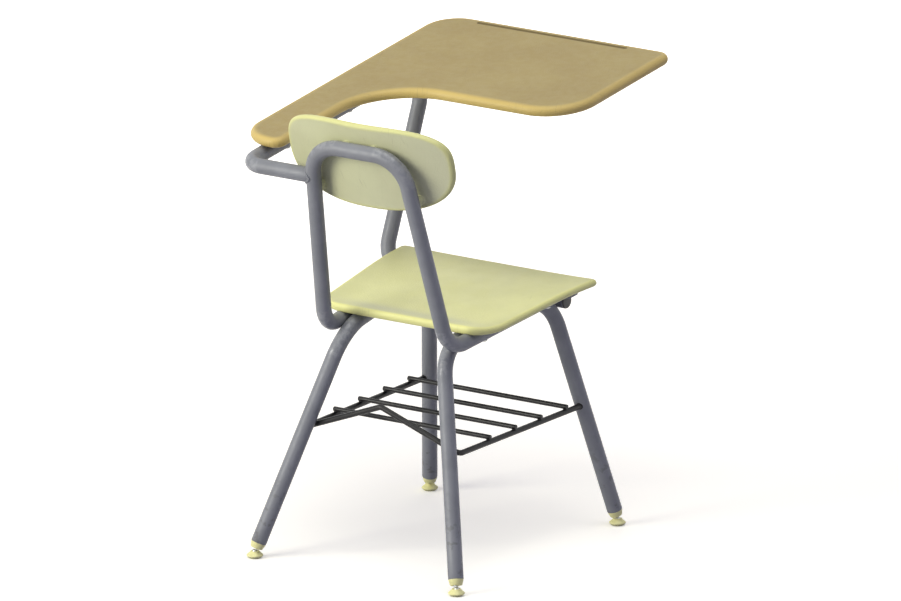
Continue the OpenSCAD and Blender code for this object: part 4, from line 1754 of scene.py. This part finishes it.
@dataclass
class WritingTablet:
    """The tablet: a flat board with an arm along the sitter's left, a full-round edge and a pencil groove."""

    layout: Layout
    thickness: float = 18.0
    length: float = 606.0
    width: float = 450.0
    arm_w: float = 86.0
    wing_depth: float = 311.0
    left: float = 273.0
    behind: float = 43.0
    radii: tuple[float, ...] = (62.0, 20.0, 115.0, 85.0, 22.0, 58.0)
    groove_len: float = 285.0
    groove_w: float = 9.0
    groove_deep: float = 3.0
    groove_in: float = 17.0
    groove_points: int = 24
    groove_around: int = 64
    # Depth at which the groove's painted shade is as dark as it gets, and the slack for finding its points
    groove_shade_from: float = 0.4
    groove_shade_slack: float = 0.1
    arc_points: int = 26
    side_step: float = 14.0
    edge_steps: int = 16
    # Two rings on each face, this far in from the edge's
    face_in: tuple[float, float] = (4.5, 9.0)
    # The painted highlight on the edge: its fade, longer than half the thickness by this much, and its level
    # at the edge
    rim_over: float = 3.0
    rim_level: float = 1.15

    @property
    def groove_mid(self) -> Array:
        """The groove's middle, across and ahead."""
        return vec(self.width / 2 - self.left, self.behind + self.length - self.groove_in)

    def board(self) -> Surface:
        """The outline set in along its normals as rings round the edge, with flat faces inside them.

        Returns:
            The board without its groove.
        """
        left, right, arm = -self.left, self.width - self.left, self.arm_w - self.left
        rear, front = self.behind, self.behind + self.length
        wing = front - self.wing_depth
        corners = [[left, rear], [arm, rear], [arm, wing], [right, wing], [right, front], [left, front]]
        outline, facing = rounded_outline(np.array(corners), self.radii, self.arc_points, self.side_step)
        ring = slab_rings(self.thickness, [1.0, 1.0], self.edge_steps)
        near, far = self.face_in
        ring[[1, -2], 1] += near
        ring[[0, -1], 1] += far
        inset, height = ring[:, 1, None, None], ring[:, 2, None, None]
        plan = outline - inset * facing
        n, m = plan.shape[:2]
        local = np.concatenate([plan, np.broadcast_to(height, (n, m, 1))], axis=-1)
        # Painted highlight round the edge
        rim = rim_highlight(ring[:, 1, None], self.thickness / 2 + self.rim_over, self.rim_level)
        caps = [np.arange(m)[None, ::-1], (n - 1) * m + np.arange(m)[None, :]]
        points = self.layout.tablet.place(local.reshape(-1, 3))
        return Surface(points, [grid_faces(n, m), *caps], {"rim": np.repeat(rim, m)})

    def groove(self) -> Surface:
        """A capsule that reaches into the top: a round groove with round ends.

        Returns:
            The tool that cuts it.
        """
        r = (self.groove_w**2 / 4 + self.groove_deep**2) / (2 * self.groove_deep)
        a = np.linspace(-np.pi / 2, np.pi / 2, self.groove_points)
        profile = np.stack([r * np.cos(a), r * np.sin(a) + self.groove_len / 2 * np.sign(a)], axis=-1)
        k = self.layout.tablet
        middle = k.place(vec(*self.groove_mid, self.thickness - self.groove_deep + r))
        return lathe(profile, middle, k.x, self.groove_around)

    def paint_groove_shade(self, mesh: bpy.types.Mesh) -> None:
        """Marks the groove's wall for painted shade, which also stands for pencil dirt: 0 at its lips, 1 from
        a small depth down.

        Args:
            mesh: The board with its groove cut.
        """
        k = self.layout.tablet
        points = np.empty(len(mesh.vertices) * 3)
        mesh.vertices.foreach_get("co", points)
        local = (points.reshape(-1, 3) - to_row(k.origin)) / MM
        deep = self.thickness - local @ k.z
        along, across = np.abs(local @ np.stack([k.x, k.y], axis=-1) - self.groove_mid).T
        inside = along < self.groove_len / 2 + self.groove_w
        inside &= across < self.groove_w / 2 + self.groove_shade_slack
        inside &= deep < self.groove_deep + self.groove_shade_slack
        set_mark(mesh, "groove", np.where(inside, ramp(deep / self.groove_shade_from), 0.0))

    def build(self) -> list[bpy.types.Object]:
        """Makes the board, cuts its groove and marks the groove's wall for painted shade.

        Returns:
            The piece.
        """
        piece = make_piece("writing_tablet", self.board(), TAN.material(), ["tablet_top"])
        carve(piece, self.groove())
        self.paint_groove_shade(piece.data)
        return [piece]


@dataclass
class Fixings:
    """Screws up through the tubes and the bracket, and blind rivets through the backrest."""

    layout: Layout
    backrest: BackrestShell
    head_r: float = 5.0
    head_h: float = 3.0
    # How much the head's dome falls to its edge, and the upright band left there
    head_fall: float = 0.9
    head_band: float = 0.4
    # The dome ends a hair inside the head's radius, so that its last ring and the band's first stay apart
    dome_share: float = 0.999
    shank_r: float = 2.5
    shank_len: float = 6.0
    recess_r: float = 2.5
    recess_w: float = 1.25
    recess_deep: float = 1.7
    # The recess's slopes at its sides and ends, and how much it rises to its ends
    recess_side: float = 0.35
    recess_end: float = 0.5
    recess_rise: float = 0.35
    around: int = 72
    rings: int = 26
    seat_y: tuple[float, ...] = (-60.0, 105.0)
    arm_shares: tuple[float, ...] = (0.225, 0.563, 0.826)
    bracket_shares: tuple[float, ...] = (0.26, 0.594, 0.928)
    bracket_len: float = 345.0
    bracket_t: float = 3.0
    rivet_flange_t: float = 1.6
    rivet_edge: float = 0.9
    rivet_body_r: float = 2.4
    # The pin's hole: its radius at its foot and its mouth, its depth, and the dome's ring round it
    pin_r: float = 1.25
    pin_mouth_r: float = 1.35
    pin_deep: float = 1.6
    dome_r: float = 3.0
    dome_fall: float = 0.1
    rivet_rounds: tuple[float, ...] = (0.2, 0.25, 1.0, 0.35, 0.1, 0.2)
    rivet_around: int = 48

    def screw(self, seat: Array, up: Array) -> Surface:
        """A pan head with a cross recess: a domed polar height field, less a depth along two crossed slots.

        Args:
            seat: Where the head bears.
            up: The screw's direction.

        Returns:
            Head and the start of its shank.
        """
        a = ring_angles(self.around)[None, :]
        c, s = np.cos(a), np.sin(a)
        t = np.linspace(0.0, 1.0, self.rings)[:, None]
        r = t * self.head_r * self.dome_share
        dome = self.head_h * np.sqrt(np.clip(1 - self.head_fall * t**3, 0, 1))
        slot = np.minimum(np.abs(r * s), np.abs(r * c))
        cut = ramp((self.recess_w / 2 - slot) / self.recess_side + 0.5)
        cut = cut * ramp((self.recess_r - r) / self.recess_end + 0.5)
        z = self.recess_deep * cut * (1 - self.recess_rise * r / self.recess_r) - dome
        rows = [np.stack([r * c, r * s, z], axis=-1)]
        head, shank = self.head_r, self.shank_r
        for radius, level in ((head, -self.head_band), (head, 0.0), (shank, 0.0), (shank, self.shank_len)):
            rows.append(np.stack([radius * c, radius * s, np.full_like(a, level)], axis=-1))
        x = side_of(up)
        return loft(Plane(seat, x, np.cross(up, x), up).place(np.concatenate(rows)))

    def seat_screws(self) -> list[Surface]:
        """Two screws in each rail.

        Returns:
            The four screws.
        """
        k = self.layout
        drop = k.tilt_up * (k.tube_r + k.weld_gap)
        right = [at_y(k.rail_mid, k.rail_dir, y) - drop for y in self.seat_y]
        return [self.screw(p, k.tilt_up) for p in right + [flip(p) for p in right]]

    def tablet_screws(self) -> list[Surface]:
        """Three screws through the support tube and three through the bracket.

        Returns:
            The six screws.
        """
        k = self.layout
        low = k.rest_gap + k.weld_gap
        arm = [vec(-k.arm_x, share * k.arm_run, -k.tube_d - low) for share in self.arm_shares]
        along = [share * self.bracket_len - k.arm_x for share in self.bracket_shares]
        wing = [vec(x, k.bracket_at, -self.bracket_t - low) for x in along]
        return [self.screw(k.tablet.place(p), k.tilt_up) for p in arm + wing]

    def rivets(self) -> list[Surface]:
        """Blind rivets: a domed flange with the hole that the drawn pin leaves.

        Returns:
            The four rivets.
        """
        k, b, made = self.layout, self.backrest, []
        r, body = b.rivet_flange / 2, self.rivet_body_r
        for x, s in b.fixings():
            floor = b.sink_floor(x)
            top = floor - self.rivet_flange_t
            pin = top + self.pin_deep
            corners = [
                (0, pin), (self.pin_r, pin), (self.pin_mouth_r, top + self.dome_fall), (self.dome_r, top),
                (r, top + self.rivet_edge), (r, floor), (body, floor), (body, 0),
            ]
            profile = rounded_profile(corners, self.rivet_rounds)
            made.append(lathe(profile, k.back.place(vec(x, s, 0)), k.back.z, self.rivet_around))
        return made

    def build(self) -> list[bpy.types.Object]:
        """Makes the screws and the rivets.

        Returns:
            The pieces.
        """
        sets = {
            "seat_screws": self.seat_screws(),
            "tablet_screws": self.tablet_screws(),
            "backrest_rivets": self.rivets(),
        }
        parts = {f"{node}_zinc": (merged(shapes), [node]) for node, shapes in sets.items()}
        return make_pieces(parts, Zinc().material())


@dataclass
class TubePlugs:
    """Plugs in the rails' and the cross tube's open ends: a domed cap on a stem."""

    layout: Layout
    cap_t: float = 2.5
    # The dome's fall to its edge, and how far the edge stands in
    cap_fall: float = 0.35
    cap_in: float = 1.0
    stem: float = 14.0
    rounds: tuple[float, ...] = (1.3, 0.1, 0.02, 1.0)

    def plug(self, end: Array, way: Array) -> Surface:
        """A cap with a round edge over the tube's end, and its stem inside.

        Args:
            end: The middle of the tube's end.
            way: The way out of it.

        Returns:
            The plug.
        """
        k = self.layout
        stem, gap = k.bore - k.weld_gap, k.weld_gap
        corners = [
            (0, self.cap_t), (k.tube_r - self.cap_in, self.cap_t - self.cap_fall), (k.tube_r, gap),
            (stem, gap), (stem, -self.stem), (0, -self.stem),
        ]
        return lathe(rounded_profile(corners, self.rounds), end, way)

    def build(self) -> list[bpy.types.Object]:
        """Makes the three plugs.

        Returns:
            The pieces.
        """
        k = self.layout
        ends = {
            "right_rail_plug": (k.rail_tip, k.rail_dir),
            "left_rail_plug": (flip(k.rail_tip), flip(k.rail_dir)),
            "cross_tube_plug": (k.cross_tip, RIGHT),
        }
        parts = {f"{node}_cap": (self.plug(*where), [node]) for node, where in ends.items()}
        return make_pieces(parts, Polyethylene().material())


@dataclass
class SwivelGlide:
    """A foot that turns on a ball: a nylon ferrule in the leg, a steel stud and a nylon foot."""

    layout: Layout
    corner: Corner
    ball_r: float = 4.8
    ball_room: float = 0.05
    foot_r: float = 14.0
    face_r: float = 10.0
    shank_r: float = 3.0
    shank_to: float = 30.0
    shank_room: float = 0.05
    collar_t: float = 1.1
    collar_out: float = 2.0
    # The stud's neck: its share of the shank, where it starts, and the ball's latitude that it meets
    neck: float = 0.87
    neck_from: float = 4.2
    neck_deg: float = 56.0
    ferrule_from: float = 6.5
    ferrule_show: float = 10.0
    ferrule_deep: float = 24.0
    ferrule_foot_r: float = 10.0
    ferrule_hole: float = 12.0
    ferrule_in: float = 0.3
    # The ferrule's taper ends this far in from its brim and under it
    brim_in: float = 0.15
    brim_h: float = 1.6
    ferrule_rounds: tuple[float, ...] = (0.3, 1.2, 0.8, 0.25, 0.02, 1.0)
    stud_rounds: tuple[float, ...] = (0.1, 0.25, 0.25, 0.02, 0.5)
    ball_points: int = 26
    stud_around: int = 48
    lip: float = 1.5
    lip_room: float = 0.2
    wall: float = 2.5
    # The foot's rolled skirt: how far its two shoulders stand in, and the heights of both and of its rim
    skirt_in: float = 1.0
    skirt_heights: tuple[float, float, float] = (3.0, 4.4, 5.8)
    waist_out: float = 1.5
    waist_down: float = 2.2
    foot_rounds: tuple[float, ...] = (0.9, 0.9, 0.8, 0.9, 2.0, 0.5)
    # The socket's wall is drawn down to this angle below the ball's middle
    socket_to: float = -1.2
    socket_points: int = 10
    foot_around: int = 72

    def at_corner(self, front: Array, rear: Array) -> Array:
        """The front or the rear one of the right side's two vectors, on this glide's side.

        Args:
            front: The front one.
            rear: The rear one.

        Returns:
            The vector at this corner.
        """
        end, side = self.corner.value.split("_")
        found = front if end == "front" else rear
        return found if side == "right" else flip(found)

    @cached_property
    def ball(self) -> Array:
        """The ball's centre."""
        return self.at_corner(self.layout.front_ball, self.layout.rear_ball)

    @cached_property
    def axis(self) -> Array:
        """The leg's direction, upwards."""
        return self.at_corner(self.layout.front_axis, self.layout.rear_axis)

    def ferrule(self) -> Surface:
        """A tapered collar under the tube with a sleeve inside it.

        Returns:
            The ferrule.
        """
        k = self.layout
        low, tube_end = self.ferrule_from, self.ferrule_from + self.ferrule_show
        top, high = tube_end - k.weld_gap, tube_end + self.ferrule_deep
        sleeve, wide = k.bore - k.weld_gap, k.tube_r - self.ferrule_in
        hole = self.shank_r + self.shank_room
        corners = [
            (hole, low + self.ferrule_hole), (hole, low), (self.ferrule_foot_r, low),
            (wide - self.brim_in, top - self.brim_h), (wide, top), (sleeve, top), (sleeve, high), (0, high),
        ]
        return lathe(rounded_profile(corners, self.ferrule_rounds), self.ball, self.axis)

    def stud(self) -> Surface:
        """The ball, its neck, a collar under the ferrule and the shank.

        Returns:
            The stud.
        """
        a = np.linspace(-np.pi / 2, np.radians(self.neck_deg), self.ball_points)
        ball = np.stack([self.ball_r * np.cos(a), self.ball_r * np.sin(a)], axis=-1)
        neck, collar, shank = self.neck * self.shank_r, self.shank_r + self.collar_out, self.shank_r
        top = self.ferrule_from - self.shank_room
        low = top - self.collar_t
        corners = [
            (neck, self.neck_from), (neck, low), (collar, low), (collar, top),
            (shank, top), (shank, self.shank_to), (0, self.shank_to),
        ]
        shaft = rounded_profile(corners, self.stud_rounds)
        return lathe(np.concatenate([ball, shaft]), self.ball, self.axis, self.stud_around)

    def foot(self) -> Surface:
        """A flared foot: a face with a round edge, a rolled skirt, a waist and a lip round the socket.

        Returns:
            The foot.
        """
        low, lip_r = -self.layout.ball_h, self.ball_r + self.wall
        skirt, socket_r = self.foot_r - self.skirt_in, self.ball_r + self.ball_room
        lower, rim, upper = (low + h for h in self.skirt_heights)
        corners = [
            (0, low), (self.face_r, low), (skirt, lower), (self.foot_r, rim), (skirt, upper),
            (lip_r + self.waist_out, self.lip - self.waist_down),
            (lip_r, self.lip), (self.ball_r + self.lip_room, self.lip),
        ]
        profile = rounded_profile(corners, self.foot_rounds)
        a = np.linspace(math.asin(self.lip / socket_r), self.socket_to, self.socket_points)
        socket = socket_r * np.stack([np.cos(a), np.sin(a)], axis=-1)
        return lathe(np.concatenate([profile, socket]), self.ball, UP, self.foot_around)

    def build(self, nylon: bpy.types.Material, zinc: bpy.types.Material) -> list[bpy.types.Object]:
        """Makes the ferrule, the stud and the foot, each on its own body.

        Args:
            nylon: The finish of the ferrule and the foot.
            zinc: The finish of the stud.

        Returns:
            The three pieces.
        """
        c = self.corner.value
        return [
            make_piece(f"{c}_ferrule", self.ferrule(), nylon, [f"{c}_glide_ferrule"]),
            make_piece(f"{c}_ball_stud", self.stud(), zinc, [f"{c}_glide_stud"], f"{c}_stud"),
            make_piece(f"{c}_pad", self.foot(), nylon, [f"{c}_glide_foot"], f"{c}_foot"),
        ]


@dataclass(frozen=True)
class SoftBox:
    """A square soft light: its place in metres, its power, its colour and whether it shows as a highlight."""

    name: str
    place: Point
    watts: float
    colour: str
    shine: bool = True


KEY = SoftBox("key", (-2.2, -3.83, 1.83), 157.0, "#FFFEF4")
OVERHEAD = SoftBox("overhead", (0.45, -0.35, 3.8), 62.0, "#FFFFFA")
# The seat and the tablet would mirror this one into the camera, so it lights without a highlight
FILL = SoftBox("fill", (-1.9, 3.4, 1.0), 50.0, "#FFF6E6", shine=False)


@dataclass
class Studio:
    """A white floor, soft light from the camera's left, and a long lens at the photograph's angle."""

    target: Point = (0.0519, -0.0793, 0.410)
    toward: Point = (0.5388, -0.7988, 0.2676)
    lens: float = 900.0
    width_m: float = 1.4596
    far_m: float = 100.0
    floor_m: float = 30.0
    floor_white: str = "#FFFCEE"
    floor_bounce: str = "#9C9CB0"
    floor_roughness: float = 0.9
    floor_glow: float = 0.31
    far_glow: float = 0.82
    fade_from_m: float = 0.9
    fade_to_m: float = 2.6
    lamp_m: float = 2.4
    lamps: tuple[SoftBox, ...] = (KEY, OVERHEAD, FILL)
    sky: float = 0.34
    sky_tint: str = "#D4D4FF"

    def seen(self, tree: bpy.types.NodeTree) -> Socket:
        """1 for what the camera sees straight, in a reflection or through glass.

        Args:
            tree: The node tree.

        Returns:
            The output.
        """
        seen = add(tree, "ShaderNodeLightPath", out="Is Camera Ray")
        for ray in ("Is Glossy Ray", "Is Transmission Ray"):
            other = add(tree, "ShaderNodeLightPath", out=ray)
            seen = add(tree, "ShaderNodeMath", {0: seen, 1: other}, operation="MAXIMUM")
        return seen

    def floor(self) -> None:
        """A white floor that keeps soft shadows and stays white to the camera."""
        half = self.floor_m / 2
        corners = [(-half, -half, 0), (half, -half, 0), (half, half, 0), (-half, half, 0)]
        mesh = bpy.data.meshes.new("floor")
        mesh.from_pydata(corners, [], [(0, 1, 2, 3)])
        plane = bpy.data.objects.new("floor", mesh)
        bpy.context.collection.objects.link(plane)
        s = Shading("white_studio_floor")
        seen = self.seen(s.tree)
        # White to the camera and in reflections; what it throws back on the chair is a cool grey
        tone = s.coats(self.floor_bounce, (self.floor_white, seen))
        s.feed(Base_Color=tone, Roughness=self.floor_roughness)
        # Round the chair the floor keeps its shadow, and further out it fades to plain white
        out = add(s.tree, "ShaderNodeVectorMath", {0: s.place}, "Value", operation="LENGTH")
        fade = {
            "Value": out,
            "From Min": self.fade_from_m,
            "From Max": self.fade_to_m,
            "To Min": self.floor_glow,
            "To Max": self.far_glow,
        }
        level = add(s.tree, "ShaderNodeMapRange", fade, **SMOOTH)
        glow = add(s.tree, "ShaderNodeEmission", {"Strength": s.where(seen, level)})
        both = add(s.tree, "ShaderNodeAddShader", {0: s.shader.outputs[0], 1: glow})
        wire(s.tree, s.tree.nodes["Material Output"], {"Surface": both})
        plane.data.materials.append(s.material)

    def world(self) -> None:
        """A dim, cool, even sky for light, white where the camera looks past the floor."""
        world = bpy.data.worlds.new("studio")
        world.use_nodes = True
        tree = world.node_tree
        seen = self.seen(tree)
        colours = {0: seen, MIX_A: linear(self.sky_tint), MIX_B: linear("#FFFFFF")}
        tint = add(tree, "ShaderNodeMix", colours, MIX_OUT, data_type="RGBA")
        strength = add(tree, "ShaderNodeMapRange", {"Value": seen, "To Min": self.sky, "To Max": 1.0})
        wire(tree, tree.nodes["Background"], {"Color": tint, "Strength": strength})
        bpy.context.scene.world = world

    def lamp(self, box: SoftBox) -> None:
        """Hangs a soft light that faces the chair.

        Args:
            box: The light.
        """
        data = bpy.data.lights.new(box.name, "AREA")
        data.size, data.energy = self.lamp_m, box.watts
        data.color = linear(box.colour)[:3]
        lamp = bpy.data.objects.new(box.name, data)
        lamp.location, lamp.visible_glossy = box.place, box.shine
        lamp.rotation_euler = (Vector(self.target) - Vector(box.place)).to_track_quat("-Z", "Y").to_euler()
        bpy.context.collection.objects.link(lamp)

    def camera(self) -> None:
        """The photograph's camera: a lens so long that the view has almost no perspective."""
        data = bpy.data.cameras.new("camera")
        data.lens, data.clip_end = self.lens, self.far_m
        camera = bpy.data.objects.new("camera", data)
        way = Vector(self.toward).normalized()
        camera.location = Vector(self.target) + way * (self.width_m * self.lens / data.sensor_width)
        camera.rotation_euler = (-way).to_track_quat("-Z", "Y").to_euler()
        bpy.context.collection.objects.link(camera)
        bpy.context.scene.camera = camera

    def build(self) -> None:
        """Sets the floor, the world, the lamps and the camera."""
        bpy.context.scene.view_settings.view_transform = "Standard"
        self.floor()
        self.world()
        for box in self.lamps:
            self.lamp(box)
        self.camera()


def main() -> None:
    """Builds each sub-assembly in order, then the studio."""
    logging.basicConfig(level=logging.INFO, format="%(name)s: %(message)s")
    layout = Layout()
    backrest = BackrestShell(layout)
    nylon, zinc = Nylon().material(), Zinc("zinc_plated_stud").material()
    made = TubeFrame(layout).build() + BookRack(layout).build() + SeatShell(layout).build()
    made += backrest.build() + WritingTablet(layout).build() + Fixings(layout, backrest).build()
    made += TubePlugs(layout).build()
    for corner in Corner:
        made += SwivelGlide(layout, corner).build(nylon, zinc)
    Studio().build()


if __name__ == "__main__":
    main()
